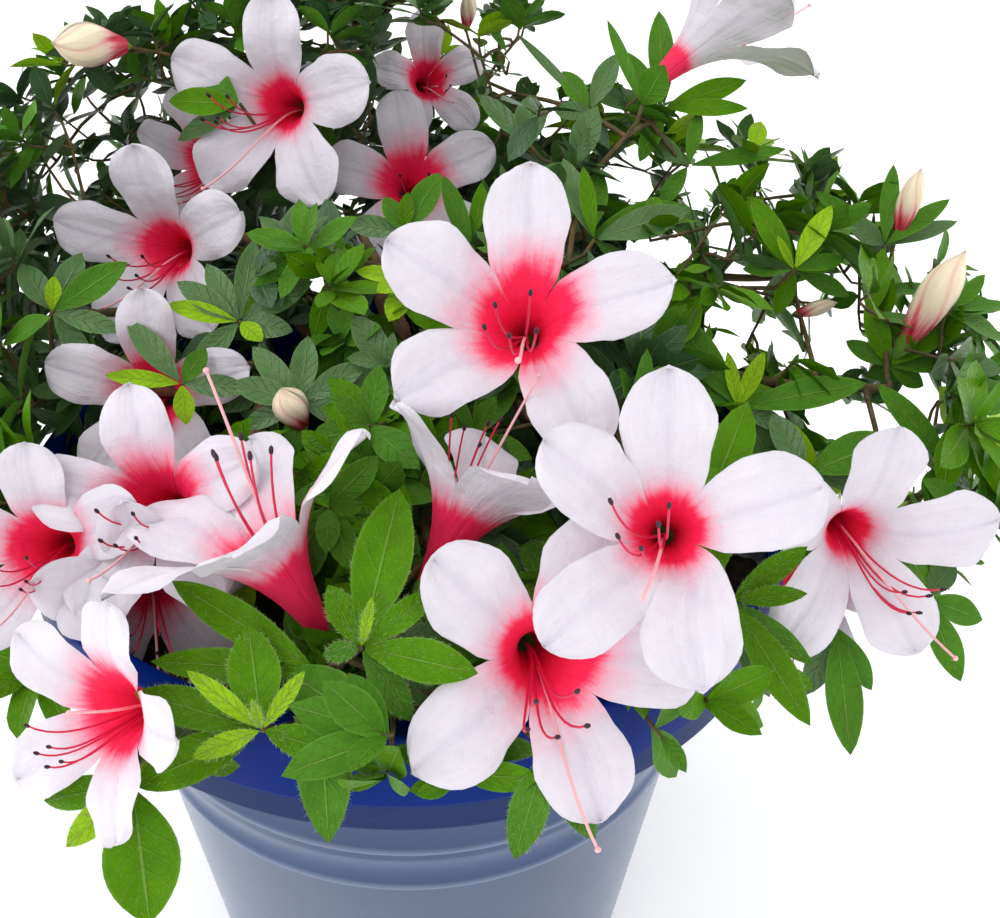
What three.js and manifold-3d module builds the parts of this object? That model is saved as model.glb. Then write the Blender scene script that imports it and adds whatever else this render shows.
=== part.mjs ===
// An azalea in flower, built together with its plastic pot.
// Millimetres, +Z up. The origin is the middle of the pot's underside, and the front is -Y.

import * as THREE from 'three';
import { mergeVertices } from 'three/addons/utils/BufferGeometryUtils.js';
import Module from 'manifold-3d';

const wasm = await Module();
wasm.setup();

// Driving dimensions

const rimRadius = 100;
const potHeight = 175;
const leafLength = 36;
const bloomRadius = 30;
const touchGap = 0.3;
const seedBase = 1871;
const weldReach = 1e-3;

// The pot: a tapered cup under a wide collar

const pot = {
  footRadius: 0.68 * rimRadius,
  wallSlope: 0.1186,
  wall: 3,
  floor: 4,
  collarHeight: 30,
  collarWall: 5,
  collarFlare: 1.5,
  ringDrops: [32, 47.8],
  ringProud: 0.9,
  ringHalf: 1.2,
  corner: 1.6,
  sides: 36,
};
pot.collarBottom = potHeight - pot.collarHeight;
const wallRadius = (height) => pot.footRadius + pot.wallSlope * height;

// The soil, level with the collar's lower half, and the short trunk that stands on it

const soil = { top: 157, crown: 2, flat: 60, sides: 32 };
const trunk = {
  foot: new THREE.Vector3(4, 3, soil.top + touchGap),
  fork: new THREE.Vector3(-3, 12, 186),
  flareRadius: 12,
  footRadius: 8.2,
  forkRadius: 6.2,
};

// The crown: a low wide dome that is highest at the back left

const crown = {
  middle: new THREE.Vector2(-2, 34),
  reachX: 166,
  reachY: 152,
  level: 190,
  drop: 48,
  overRim: 4,
  offSoil: 12,
  offWall: 3,
};

// Limbs: radii at the start and the end, and where they end in the crown

const limbs = {
  bough: { count: 5, start: 3.7, end: 2.8, out: 0.3, rise: 0.14, firstAngle: -63 },
  leader: { start: 4.0, end: 3.2, tip: new THREE.Vector3(-12, 36, 212) },
  branch: { start: 2.0, end: 1.7, out: 0.51, rise: 0.06, swing: 20 },
  stem: { start: 1.6, end: 1.2 },
  sides: 6,
};

// Foliage masses, ring by ring: the share of the reach where a middle lies, and of the lift

const rings = {
  skirt: { count: 10, out: 0.8, rise: 0.02, firstAngle: -81 },
  shoulder: { count: 5, out: 0.5, rise: 0.46, firstAngle: -63 },
};

// The masses round the leader, over the middle of the crown
const crestPlaces = [
  { angle: -32, out: 0.2, rise: 0.6 },
  { angle: 45, out: 0.4, rise: 0.62 },
  { angle: 119, out: 0.45, rise: 0.42 },
  { angle: 190, out: 0.2, rise: 0.62 },
];

// What grows in a mass

const growth = {
  sprays: 11,
  spacing: 15,
  tries: 1600,
  nearSkin: 3,
  deepest: 42,
  searchWidth: 110,
  tipRoom: 4,
  twigStart: 0.75,
  twigEnd: 0.85,
  clear: 0.7,
  offLimb: 0.6,
  guardSteps: 8,
  sampleStep: 1.5,
  stemSides: 4,
  stemSteps: 3,
  nodeStep: 3.2,
  woodTries: 16,
  sprayJoint: 26,
  bloomJoint: 44,
  proud: 7,
  twigLean: 0.35,
  farFavour: 0.15,
  longTwig: 30,
  sprayWood: 5,
  firstNode: 6,
  nodeShares: [0.4, 0.7],
  fewestLeaves: 3,
  lean: 0.7,
  upTurn: 0.25,
  heartBelow: 25,
  stalkRun: 2,
  bloomsByRule: 2,
  bloomDepth: 22,
  bloomSpacing: 46,
  budShare: 0.1,
};

// A whorl of leaves round a twig's tip. The shares are of a leaf's length.
const whorl = {
  count: 5,
  sides: 3,
  under: 1.3,
  heart: 2,
  cleft: 3.2,
  widestAt: 0.5,
  halfWidth: 0.21,
  fold: 0.22,
  droop: 0.07,
  rise: 20,
  riseSpread: 12,
  lengths: [1.08, 0.96, 0.84, 0.7, 0.56],
};

// A flower on its tube. The shares are of its radius.
const flower = {
  count: 5,
  sides: 4,
  tube: 0.72,
  tubeFoot: 1.7,
  throat: 0.17,
  under: 0.09,
  heart: 0.9,
  cleft: 0.3,
  widestAt: 0.75,
  halfWidth: 0.29,
  fold: 0.03,
  droop: 0,
  rise: 11,
  sizes: [1, 0.93, 0.86, 0.79],
};

// A closed bud: radii and heights up it
const bud = { sides: 4, rings: [[1.5, 0], [3.4, 8], [2.4, 16], [0.5, 20]] };

// The photograph's eye, a 40 mm lens over 36 mm, and the flowers that it shows.
// across and down are picture points, away is the distance along the view, and turn, tip and
// spin turn a flower from facing the eye.

const eye = {
  place: new THREE.Vector3(22.6, -252.5, 339.7),
  pitch: 33.34,
  roll: 1.63,
  focal: 1111,
  middleAcross: 500,
  middleDown: 459,
};

const shownBlooms = [
  { across: 525, down: 335, away: 228, turn: -5, tip: 14, spin: -2, size: 1 },
  { across: 672, down: 542, away: 216, turn: -7, tip: 9, spin: -13, size: 1 },
  { across: 547, down: 665, away: 212, turn: 13, tip: -16, spin: -25, size: 1 },
  { across: 478, down: 500, away: 232, turn: 25, tip: 62, spin: 20, size: 0.78 },
  { across: 258, down: 548, away: 222, turn: -32, tip: 55, spin: 10, size: 0.95 },
  { across: 146, down: 506, away: 246, turn: -34, tip: 2, spin: 12, size: 0.8 },
  { across: 112, down: 700, away: 205, turn: -38, tip: -4, spin: 0, size: 0.75 },
  { across: 45, down: 555, away: 230, turn: -35, tip: 0, spin: 5, size: 0.8 },
  { across: 165, down: 245, away: 320, turn: -12, tip: 5, spin: 10, size: 0.95 },
  { across: 190, down: 155, away: 368, turn: -50, tip: 30, spin: 0, size: 0.72 },
  { across: 288, down: 100, away: 333, turn: -14, tip: 4, spin: 0, size: 0.95 },
  { across: 410, down: 178, away: 352, turn: 5, tip: 15, spin: 5, size: 0.9 },
  { across: 428, down: 78, away: 388, turn: 20, tip: 10, spin: 0, size: 0.9 },
  { across: 690, down: 60, away: 335, turn: 55, tip: 50, spin: 0, size: 1 },
  { across: 873, down: 540, away: 250, turn: 18, tip: -12, spin: 8, size: 1 },
];

// Finishes

const finishes = {
  potPlastic: { color: 0x7285ab, roughness: 0.32, metalness: 0 },
  soilCrumbs: { color: 0x3b2c22, roughness: 0.95, metalness: 0 },
  bark: { color: 0x6b4a30, roughness: 0.85, metalness: 0 },
  foliage: { color: 0x3f7a2c, roughness: 0.55, metalness: 0 },
};

// Small sums

const radians = THREE.MathUtils.degToRad;
const lerp = THREE.MathUtils.lerp;
const clamp = THREE.MathUtils.clamp;
const smooth = THREE.MathUtils.smoothstep;
const point = (x, y, z) => new THREE.Vector3(x, y, z);
const upward = point(0, 0, 1);

// A small repeatable source of numbers from 0 to 1
function seeded(seed) {
  let state = seed >>> 0;
  return () => {
    state = (state + 0x6d2b79f5) >>> 0;
    let mixed = Math.imul(state ^ (state >>> 15), state | 1);
    mixed ^= mixed + Math.imul(mixed ^ (mixed >>> 7), mixed | 61);
    return ((mixed ^ (mixed >>> 14)) >>> 0) / 4294967296;
  };
}

// Crown surfaces

const spread = (x, y) => Math.hypot((x - crown.middle.x) / crown.reachX, (y - crown.middle.y) / crown.reachY);

// How high the dome stands above its level, at the left and at the right
function lift(x, y) {
  const left = clamp(38 + 0.5 * y, 24, 92);
  const right = clamp(36 + 0.2 * y, 28, 52);
  return lerp(left, right, smooth(x, 10, 75));
}

const bulge = (x, y) => Math.sqrt(Math.max(0, 1 - spread(x, y) ** 4));
const roof = (x, y) => crown.level + lift(x, y) * bulge(x, y);
const hem = (x, y) => crown.level - crown.drop * bulge(x, y);

// How far a point lies inside the crown's skin; less than nothing is outside
function depthInside(at) {
  const radial = Math.hypot(at.x, at.y);
  const overPot = radial < rimRadius + crown.offWall + 3;
  const overSoil = radial < rimRadius - pot.collarWall - crown.offWall;
  const bottom = overSoil ? soil.top + crown.offSoil : potHeight + crown.overRim;
  const floor = overPot ? bottom : hem(at.x, at.y);
  const side = (1 - spread(at.x, at.y)) * crown.reachY;
  return Math.min(roof(at.x, at.y) - at.z, at.z - floor, side);
}

// Clear of the pot's collar, and of the soil inside it
function clearOfPot(at) {
  const radial = Math.hypot(at.x, at.y);
  if (radial > rimRadius + crown.offWall) return true;
  const inside = radial < rimRadius - pot.collarWall - crown.offWall;
  return at.z > (inside ? soil.top + crown.overRim : potHeight + 1);
}

// A place in the crown by compass angle, share of the reach, and share of the lift
function inCrown(angle, out, rise) {
  const x = crown.middle.x + out * crown.reachX * Math.cos(radians(angle));
  const y = crown.middle.y + out * crown.reachY * Math.sin(radians(angle));
  return point(x, y, crown.level + rise * lift(x, y));
}

// The photograph's view

const ahead = point(0, Math.cos(radians(eye.pitch)), -Math.sin(radians(eye.pitch)));
const plainUp = point(0, Math.sin(radians(eye.pitch)), Math.cos(radians(eye.pitch)));
const eyeRight = point(1, 0, 0).applyAxisAngle(ahead, radians(-eye.roll));
const eyeUp = plainUp.clone().applyAxisAngle(ahead, radians(-eye.roll));

// The point that a picture point shows at a distance along the view
function seen(across, down, away) {
  return eye.place.clone()
    .addScaledVector(ahead, away)
    .addScaledVector(eyeRight, (away * (across - eye.middleAcross)) / eye.focal)
    .addScaledVector(eyeUp, (away * (eye.middleDown - down)) / eye.focal);
}

// A direction near the one back to the eye, turned to the right and tipped up
function facing(at, turn, tip) {
  const back = eye.place.clone().sub(at).normalize();
  const right = upward.clone().cross(back).normalize();
  const up = back.clone().cross(right);
  return back.multiplyScalar(Math.cos(radians(tip)) * Math.cos(radians(turn)))
    .addScaledVector(right, Math.cos(radians(tip)) * Math.sin(radians(turn)))
    .addScaledVector(up, Math.sin(radians(tip)));
}

// Closed meshes and solids

// Welds a geometry's near points and drops the faces that this flattens
function closed(geometry, reach = 1e-5) {
  geometry.deleteAttribute('normal');
  geometry.deleteAttribute('uv');
  const merged = mergeVertices(geometry, reach);
  const index = merged.index.array;
  const kept = [];
  for (let corner = 0; corner < index.length; corner += 3) {
    const [a, b, c] = [index[corner], index[corner + 1], index[corner + 2]];
    if (a !== b && b !== c && c !== a) kept.push(a, b, c);
  }
  merged.setIndex(kept);
  return merged;
}

// Turns the faces outward when their signed volume says that they point in
function outward(geometry) {
  const at = geometry.attributes.position;
  const index = geometry.index.array;
  const [a, b, c] = [point(), point(), point()];
  let volume = 0;
  for (let corner = 0; corner < index.length; corner += 3) {
    a.fromBufferAttribute(at, index[corner]);
    b.fromBufferAttribute(at, index[corner + 1]);
    c.fromBufferAttribute(at, index[corner + 2]);
    volume += a.dot(b.cross(c));
  }
  if (volume < 0) {
    const flipped = [];
    for (let corner = 0; corner < index.length; corner += 3) {
      flipped.push(index[corner], index[corner + 2], index[corner + 1]);
    }
    geometry.setIndex(flipped);
  }
  return geometry;
}

// A geometry as a solid
function solidOf(geometry) {
  return new wasm.Manifold(new wasm.Mesh({
    numProp: 3,
    vertProperties: new Float32Array(geometry.attributes.position.array),
    triVerts: new Uint32Array(geometry.index.array),
  }));
}

// A solid as a geometry
function geometryOf(solid) {
  const mesh = solid.getMesh();
  const geometry = new THREE.BufferGeometry();
  geometry.setAttribute('position', new THREE.BufferAttribute(mesh.vertProperties, 3));
  geometry.setIndex(new THREE.BufferAttribute(mesh.triVerts, 1));
  return geometry;
}

// A solid's faces with near points welded
const welded = (solid) => closed(geometryOf(solid).toNonIndexed(), weldReach);

// Whether every edge has just two faces, also once near points are welded
function sound(solid) {
  const geometry = welded(solid);
  const index = geometry.index.array;
  const count = geometry.attributes.position.count;
  const edges = new Map();
  for (let corner = 0; corner < index.length; corner += 3) {
    for (let side = 0; side < 3; side += 1) {
      const from = index[corner + side];
      const to = index[corner + ((side + 1) % 3)];
      const key = Math.min(from, to) * count + Math.max(from, to);
      edges.set(key, (edges.get(key) ?? 0) + 1);
    }
  }
  return [...edges.values()].every((faces) => faces === 2);
}

// Joins a piece to a mass, unless the joint would be loose, hollow, unsound or over-faceted
function joined(mass, geometry, jointFaces) {
  const piece = solidOf(geometry);
  const body = mass.body.add(piece);
  const added = body.numTri() - mass.body.numTri() - piece.numTri();
  if (added > jointFaces || body.decompose().length > 1 || !sound(body)) return false;
  mass.body = body;
  return true;
}

// A body of revolution from radius and height pairs that start and end on the axis
function turned(profile, sides) {
  const points = profile.map(([radius, height]) => new THREE.Vector2(radius, height));
  const geometry = closed(new THREE.LatheGeometry(points, sides));
  geometry.rotateX(Math.PI / 2);
  return outward(geometry);
}

// A tapering limb: a turned rod bent along a curve, with a rounded end where others start from it
function limbGeometry(curve, startRadius, endRadius, sides, steps, rounded = false) {
  const profile = [[0, 0]];
  for (let step = 0; step <= steps; step += 1) {
    profile.push([lerp(startRadius, endRadius, step / steps), step]);
  }
  if (rounded) profile.push([endRadius * Math.SQRT1_2, steps + Math.SQRT1_2]);
  profile.push([0, steps + (rounded ? 1 : 0)]);
  const geometry = closed(new THREE.LatheGeometry(profile.map(([r, h]) => new THREE.Vector2(r, h)), sides));
  const frames = curve.computeFrenetFrames(steps);
  const at = geometry.attributes.position;
  for (let vertex = 0; vertex < at.count; vertex += 1) {
    const step = Math.min(Math.round(at.getY(vertex)), steps);
    const beyond = Math.max(0, at.getY(vertex) - steps) * endRadius;
    const bent = curve.getPointAt(step / steps)
      .addScaledVector(frames.tangents[step], beyond)
      .addScaledVector(frames.normals[step], at.getX(vertex))
      .addScaledVector(frames.binormals[step], at.getZ(vertex));
    at.setXYZ(vertex, bent.x, bent.y, bent.z);
  }
  return outward(geometry);
}

// A place on the straight runs between a limb's rings, and the way the limb runs there
function onLimb(curve, steps, share) {
  const run = Math.min(Math.floor(share * steps), steps - 1);
  const from = curve.getPointAt(run / steps);
  const to = curve.getPointAt((run + 1) / steps);
  return { at: from.clone().lerp(to, share * steps - run), along: to.clone().sub(from).normalize() };
}

// Limbs as rows of balls and as slightly thickened solids, for the tests that keep foliage off them

const limbBalls = [];
const limbSolids = [];

// Adds a limb to both
function addLimbGuard(owner, curve, startRadius, endRadius) {
  const length = curve.getLength();
  const count = Math.max(6, Math.ceil(length / 2));
  for (let step = 0; step <= count; step += 1) {
    const share = step / count;
    limbBalls.push({ owner, at: curve.getPointAt(share), radius: lerp(startRadius, endRadius, share) });
  }
  const [start, end] = [startRadius + growth.offLimb, endRadius + growth.offLimb];
  limbSolids.push({ owner, solid: solidOf(limbGeometry(curve, start, end, limbs.sides, growth.guardSteps, true)) });
}

// The curve from a junction: it leaves along one direction and arrives along another
function limbCurve(start, leave, end, arrive) {
  const pull = start.distanceTo(end) * 0.36;
  return new THREE.CubicBezierCurve3(
    start,
    start.clone().addScaledVector(leave, pull),
    end.clone().addScaledVector(arrive, -pull),
    end,
  );
}

// Spreads the directions in which several limbs leave one tip, so that their feet stay apart.
// Each sets off for its target, raised by its own share.
function spreadDirections(tip, targets, radius, childRadius, along, raised = []) {
  const reach = radius + touchGap;
  const apart = 2 * Math.atan(childRadius / reach) + radians(11);
  const leave = targets.map((target, index) => (
    target.clone().sub(tip).normalize().addScaledVector(upward, raised[index] ?? 0).normalize()));
  for (let round = 0; round < 200; round += 1) {
    for (let first = 0; first < leave.length; first += 1) {
      for (let second = first + 1; second < leave.length; second += 1) {
        if (leave[first].angleTo(leave[second]) < apart) {
          const push = leave[first].clone().sub(leave[second]).multiplyScalar(0.04);
          leave[first].add(push).normalize();
          leave[second].sub(push).normalize();
        }
      }
      const off = leave[first].angleTo(along);
      if (off > radians(80)) leave[first].addScaledVector(along, 0.04).normalize();
    }
  }
  return leave;
}

// Sub-parts

const group = new THREE.Group();

// Adds a sub-part to the object, with its own material
function addMesh(name, geometry, finish) {
  const mesh = new THREE.Mesh(geometry, new THREE.MeshStandardMaterial(finish));
  mesh.name = name;
  group.add(mesh);
}

// The pot's section, from the underside's middle out, up and back down inside
function potProfile() {
  const top = potHeight;
  const shelf = pot.collarBottom + pot.wall;
  const outer = [[0, 0], [pot.footRadius - pot.corner, 0], [wallRadius(pot.corner), pot.corner]];
  for (const drop of [...pot.ringDrops].reverse()) {
    const height = pot.collarBottom - drop;
    outer.push([wallRadius(height - pot.ringHalf), height - pot.ringHalf]);
    outer.push([wallRadius(height) + pot.ringProud, height]);
    outer.push([wallRadius(height + pot.ringHalf), height + pot.ringHalf]);
  }
  const collarTop = rimRadius + pot.collarFlare;
  outer.push(
    [wallRadius(pot.collarBottom), pot.collarBottom],
    [rimRadius - pot.corner, pot.collarBottom],
    [rimRadius, pot.collarBottom + pot.corner],
    [collarTop, top - pot.corner],
    [collarTop - pot.corner, top],
    [collarTop - pot.collarWall + pot.corner, top],
    [collarTop - pot.collarWall, top - pot.corner],
    [rimRadius - pot.collarWall, shelf],
    [wallRadius(shelf) - pot.wall, shelf],
    [wallRadius(pot.floor) - pot.wall, pot.floor],
    [0, pot.floor],
  );
  return outer;
}

// The soil's section, which fills the pot's inside with a small gap
function soilProfile() {
  const shelf = pot.collarBottom + pot.wall + touchGap;
  const low = pot.floor + touchGap;
  const inset = pot.wall + touchGap + 0.05;
  const side = rimRadius - pot.collarWall - touchGap - 0.2;
  return [
    [0, low],
    [wallRadius(low) - inset, low],
    [wallRadius(shelf) - inset, shelf],
    [side, shelf],
    [side, soil.top - soil.crown],
    [soil.flat, soil.top],
    [0, soil.top],
  ];
}

// The trunk: a root flare, then a leaning taper up to the fork
function trunkGeometry(curve) {
  const steps = 6;
  const geometry = limbGeometry(curve, 1, 1, 10, steps, true);
  const at = geometry.attributes.position;
  const axis = Array.from({ length: steps + 1 }, (_, step) => curve.getPointAt(step / steps));
  const radiusAt = (share) => lerp(trunk.footRadius, trunk.forkRadius, share)
    + (trunk.flareRadius - trunk.footRadius) * (1 - share) ** 5;
  const vertex = point();
  for (let index = 0; index < at.count; index += 1) {
    vertex.fromBufferAttribute(at, index);
    let step = 0;
    for (let other = 1; other <= steps; other += 1) {
      if (axis[other].distanceTo(vertex) < axis[step].distanceTo(vertex)) step = other;
    }
    vertex.sub(axis[step]).multiplyScalar(radiusAt(step / steps)).add(axis[step]);
    if (step === 0) vertex.z = trunk.foot.z;
    at.setXYZ(index, vertex.x, vertex.y, vertex.z);
  }
  return outward(geometry);
}

// Every mass, with its middle and its own places

const masses = [];
// Adds a mass whose middle is at a place in the crown
function addMass(ring, index, angle, out, rise) {
  const middle = inCrown(angle, out, rise);
  const sites = [{ at: middle, reach: 0 }];
  masses.push({ name: `${ring}_${index + 1}`, ring, middle, sites, blooms: [] });
}
for (const [name, ring] of Object.entries(rings)) {
  for (let index = 0; index < ring.count; index += 1) {
    addMass(name, index, ring.firstAngle + (360 / ring.count) * index, ring.out, ring.rise);
  }
}
crestPlaces.forEach((place, index) => addMass('crest', index, place.angle, place.out, place.rise));
const massNamed = (name) => masses.find((mass) => mass.name === name);
const nearestMass = (at) => masses.reduce((near, mass) => (
  mass.middle.distanceToSquared(at) < near.middle.distanceToSquared(at) ? mass : near));

for (const shown of shownBlooms) {
  const at = seen(shown.across, shown.down, shown.away);
  const bloom = { at, face: facing(at, shown.turn, shown.tip), spin: shown.spin, size: shown.size };
  const mass = nearestMass(at);
  mass.blooms.push(bloom);
  mass.sites.push({ at, reach: bloomRadius * shown.size * 0.9 });
}

// Distance from a point to the edge of its mass's own space: every point belongs to the mass
// with the nearest site, where a flower's site reaches a little further than a mass's middle
function roomAt(mass, at) {
  const pull = (site) => site.at.distanceToSquared(at) - site.reach ** 2;
  const own = mass.sites.reduce((near, site) => (pull(site) < pull(near) ? site : near));
  const ownPull = pull(own);
  let room = Infinity;
  for (const other of masses) {
    if (other === mass) continue;
    for (const site of other.sites) {
      room = Math.min(room, (pull(site) - ownPull) / (2 * site.at.distanceTo(own.at)));
    }
  }
  return room;
}

// Whether a point keeps a margin from every limb but its mass's own stem
function clearOfLimbs(mass, at, margin) {
  for (const ball of limbBalls) {
    if (ball.owner !== mass.name && ball.at.distanceTo(at) < ball.radius + margin) return false;
  }
  return true;
}

// The limb tree: trunk, boughs and leader, branches, and each mass's stem

const trunkCurve = limbCurve(trunk.foot, upward, trunk.fork, point(-0.25, 0.25, 1).normalize());
addLimbGuard('trunk', trunkCurve, trunk.footRadius + 1, trunk.forkRadius);

// A limb that starts just clear of a tip and ends at a given point
function growLimb(name, tip, leave, radius, end, size) {
  const start = tip.clone().addScaledVector(leave, radius + touchGap);
  const arrive = end.clone().sub(start).normalize().lerp(upward, 0.12).normalize();
  const curve = limbCurve(start, leave, end, arrive);
  addLimbGuard(name, curve, size.start, size.end);
  return { name, curve, end, arrive, size };
}

const boughs = [];
const boughEnds = Array.from({ length: limbs.bough.count }, (_, index) => {
  const angle = limbs.bough.firstAngle + (360 / limbs.bough.count) * index;
  return inCrown(angle, limbs.bough.out, limbs.bough.rise);
});
const forkEnds = [...boughEnds, limbs.leader.tip];
const forkAlong = trunkCurve.getTangent(1);
spreadDirections(trunk.fork, forkEnds, trunk.forkRadius, limbs.bough.start, forkAlong)
  .forEach((leave, index) => {
    const isLeader = index === limbs.bough.count;
    const name = isLeader ? 'leader' : `bough_${index + 1}`;
    const size = isLeader ? limbs.leader : limbs.bough;
    boughs.push(growLimb(name, trunk.fork, leave, trunk.forkRadius, forkEnds[index], size));
  });

const branches = [];
boughs.slice(0, limbs.bough.count).forEach((bough, index) => {
  const angle = limbs.bough.firstAngle + (360 / limbs.bough.count) * index;
  const ends = [-1, 1].map((side) => (
    inCrown(angle + side * limbs.branch.swing, limbs.branch.out, limbs.branch.rise)));
  const shoulder = massNamed(`shoulder_${index + 1}`);
  const targets = [...ends, shoulder.middle];
  const leaves = spreadDirections(
    bough.end, targets, bough.size.end, limbs.branch.start, bough.arrive, [-0.3, -0.3, 1.2]);
  ends.forEach((end, side) => {
    const name = `branch_${2 * index + side + 1}`;
    branches.push(growLimb(name, bough.end, leaves[side], bough.size.end, end, limbs.branch));
  });
  shoulder.stem = growLimb(shoulder.name, bough.end, leaves[2], bough.size.end, shoulder.middle, limbs.stem);
});

const leader = boughs[limbs.bough.count];
const crests = masses.filter((mass) => mass.ring === 'crest');
const crestMiddles = crests.map((mass) => mass.middle);
spreadDirections(leader.end, crestMiddles, leader.size.end, limbs.stem.start, leader.arrive)
  .forEach((leave, index) => {
    const mass = crests[index];
    mass.stem = growLimb(mass.name, leader.end, leave, leader.size.end, mass.middle, limbs.stem);
  });

masses.filter((mass) => mass.ring === 'skirt').forEach((mass) => {
  const branch = branches.reduce((near, other) => (
    other.end.distanceTo(mass.middle) < near.end.distanceTo(mass.middle) ? other : near));
  mass.stem = growLimb(mass.name, branch.end, branch.arrive, branch.size.end, mass.middle, limbs.stem);
});

// Foliage

// A direction that isn't along an axis
const sideways = (axis) => (Math.abs(axis.z) > 0.9 ? point(1, 0, 0) : upward);

// The frame round a tip: its axis, and the way that its first cleft points
function frameAt(middle, axis, way) {
  const first = way.clone().addScaledVector(axis, -way.dot(axis)).normalize();
  return { middle, axis, first, second: axis.clone().cross(first) };
}

// A place in a frame, by distance from its axis, turn round it and height along it
function inFrame(frame, radius, turn, height) {
  return frame.middle.clone()
    .addScaledVector(frame.first, radius * Math.cos(turn))
    .addScaledVector(frame.second, radius * Math.sin(turn))
    .addScaledVector(frame.axis, height);
}

// Rings along a twig's curve, from its foot to its tip
function twigRings(curve, steps, startRadius, endRadius) {
  return Array.from({ length: steps + 1 }, (_, step) => ({
    middle: curve.getPointAt(step / steps),
    along: curve.getTangentAt(step / steps),
    radius: lerp(startRadius, endRadius, step / steps),
  }));
}

// A lobe's outline beyond its two clefts: one side, its tip and the other side
function lobeCorners(frame, lobe) {
  const out = lobe.length * lobe.widestAt;
  const half = lobe.length * lobe.halfWidth;
  const flat = out * Math.cos(lobe.rise);
  const side = (hand) => inFrame(
    frame,
    Math.hypot(flat, half),
    lobe.turn + hand * Math.atan2(half, flat),
    out * Math.sin(lobe.rise) + half * lobe.fold,
  );
  const tipHeight = lobe.length * (Math.sin(lobe.rise) - lobe.droop);
  return [side(-1), inFrame(frame, lobe.length * Math.cos(lobe.rise), lobe.turn, tipHeight), side(1)];
}

// The notch before a lobe, in the plane that its two neighbours share
function cleftCorner(frame, shape, lobes, index) {
  const next = lobes[index % lobes.length];
  const last = lobes[(index + lobes.length - 1) % lobes.length];
  const rise = (next.rise + last.rise) / 2;
  const height = shape.cleft * Math.cos(Math.PI / lobes.length) * Math.tan(rise);
  return inFrame(frame, shape.cleft, (2 * Math.PI * index) / lobes.length, height);
}

// One closed surface: rings up a twig or a tube, and then the lobes round the tip. A lobe of no
// length is left out. Without lobes the last ring is capped.
function stalked(frame, shape, lobes, rings) {
  const corners = [];
  const faces = [];
  const add = (at) => corners.push(at) - 1;
  const sides = shape.sides;
  const loops = rings.map((ring) => {
    const own = frameAt(ring.middle, ring.along, frame.first);
    return Array.from({ length: sides }, (_, side) => (
      add(inFrame(own, ring.radius, (2 * Math.PI * side) / sides, 0))));
  });
  const foot = loops[0];
  const top = loops[loops.length - 1];
  for (let side = 1; side + 1 < sides; side += 1) faces.push([foot[0], foot[side + 1], foot[side]]);
  for (let level = 0; level + 1 < loops.length; level += 1) {
    for (let side = 0; side < sides; side += 1) {
      const next = (side + 1) % sides;
      const [low, high] = [loops[level], loops[level + 1]];
      faces.push([low[side], low[next], high[next]], [low[side], high[next], high[side]]);
    }
  }
  if (lobes.length === 0) {
    for (let side = 1; side + 1 < sides; side += 1) faces.push([top[0], top[side], top[side + 1]]);
    return surface(corners, faces);
  }
  const count = lobes.length;
  const clefts = lobes.map((_, index) => add(cleftCorner(frame, shape, lobes, index)));
  const heart = add(inFrame(frame, 0, 0, shape.heart));
  for (let side = 0, index = 0; side < sides || index < count;) {
    if ((side + 1) / sides < (index + 1) / count || index === count) {
      faces.push([top[side % sides], top[(side + 1) % sides], clefts[index % count]]);
      side += 1;
    } else {
      faces.push([top[side % sides], clefts[(index + 1) % count], clefts[index]]);
      index += 1;
    }
  }
  lobes.forEach((lobe, index) => {
    const [from, to] = [clefts[index], clefts[(index + 1) % count]];
    if (lobe.length === 0) {
      faces.push([heart, from, to]);
      return;
    }
    const [near, tip, far] = lobeCorners(frame, lobe).map(add);
    faces.push([heart, from, near], [heart, near, tip], [heart, tip, far], [heart, far, to]);
    faces.push([from, tip, near], [from, to, tip], [to, far, tip]);
  });
  return surface(corners, faces);
}

// A closed geometry from corner points and the faces between them
function surface(corners, faces) {
  const geometry = new THREE.BufferGeometry();
  geometry.setFromPoints(corners);
  geometry.setIndex(faces.flat());
  return outward(geometry);
}

// Points between corners, at a quarter, a half and three quarters of the way from one to another
function between(corners) {
  const found = [];
  corners.forEach((corner, first) => {
    found.push(corner);
    for (const other of corners.slice(0, first)) {
      for (const share of [0.25, 0.5, 0.75]) found.push(corner.clone().lerp(other, share));
    }
  });
  return found;
}

// Whether a piece with these corners keeps to its mass's space and off the pot and the limbs
function fits(mass, corners, skinTest) {
  return between(corners).every((at) => (
    roomAt(mass, at) > growth.clear
    && clearOfPot(at)
    && clearOfLimbs(mass, at, growth.clear)
    && (!skinTest || depthInside(at) > -growth.proud)
  ));
}

// Whether a new piece would cut through what its mass already has, or through another limb
function blocked(mass, solid) {
  const others = limbSolids.filter((limb) => limb.owner !== mass.name).map((limb) => limb.solid);
  return crosses([...mass.blades, ...mass.twigs, ...others], solid);
}

// Whether a solid cuts through any of some others
function crosses(others, solid) {
  const box = solid.boundingBox();
  return others.some((piece) => {
    const other = piece.boundingBox();
    for (let axis = 0; axis < 3; axis += 1) {
      if (box.min[axis] > other.max[axis] || box.max[axis] < other.min[axis]) return false;
    }
    return solid.intersect(piece).volume() > 1e-3;
  });
}

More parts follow.
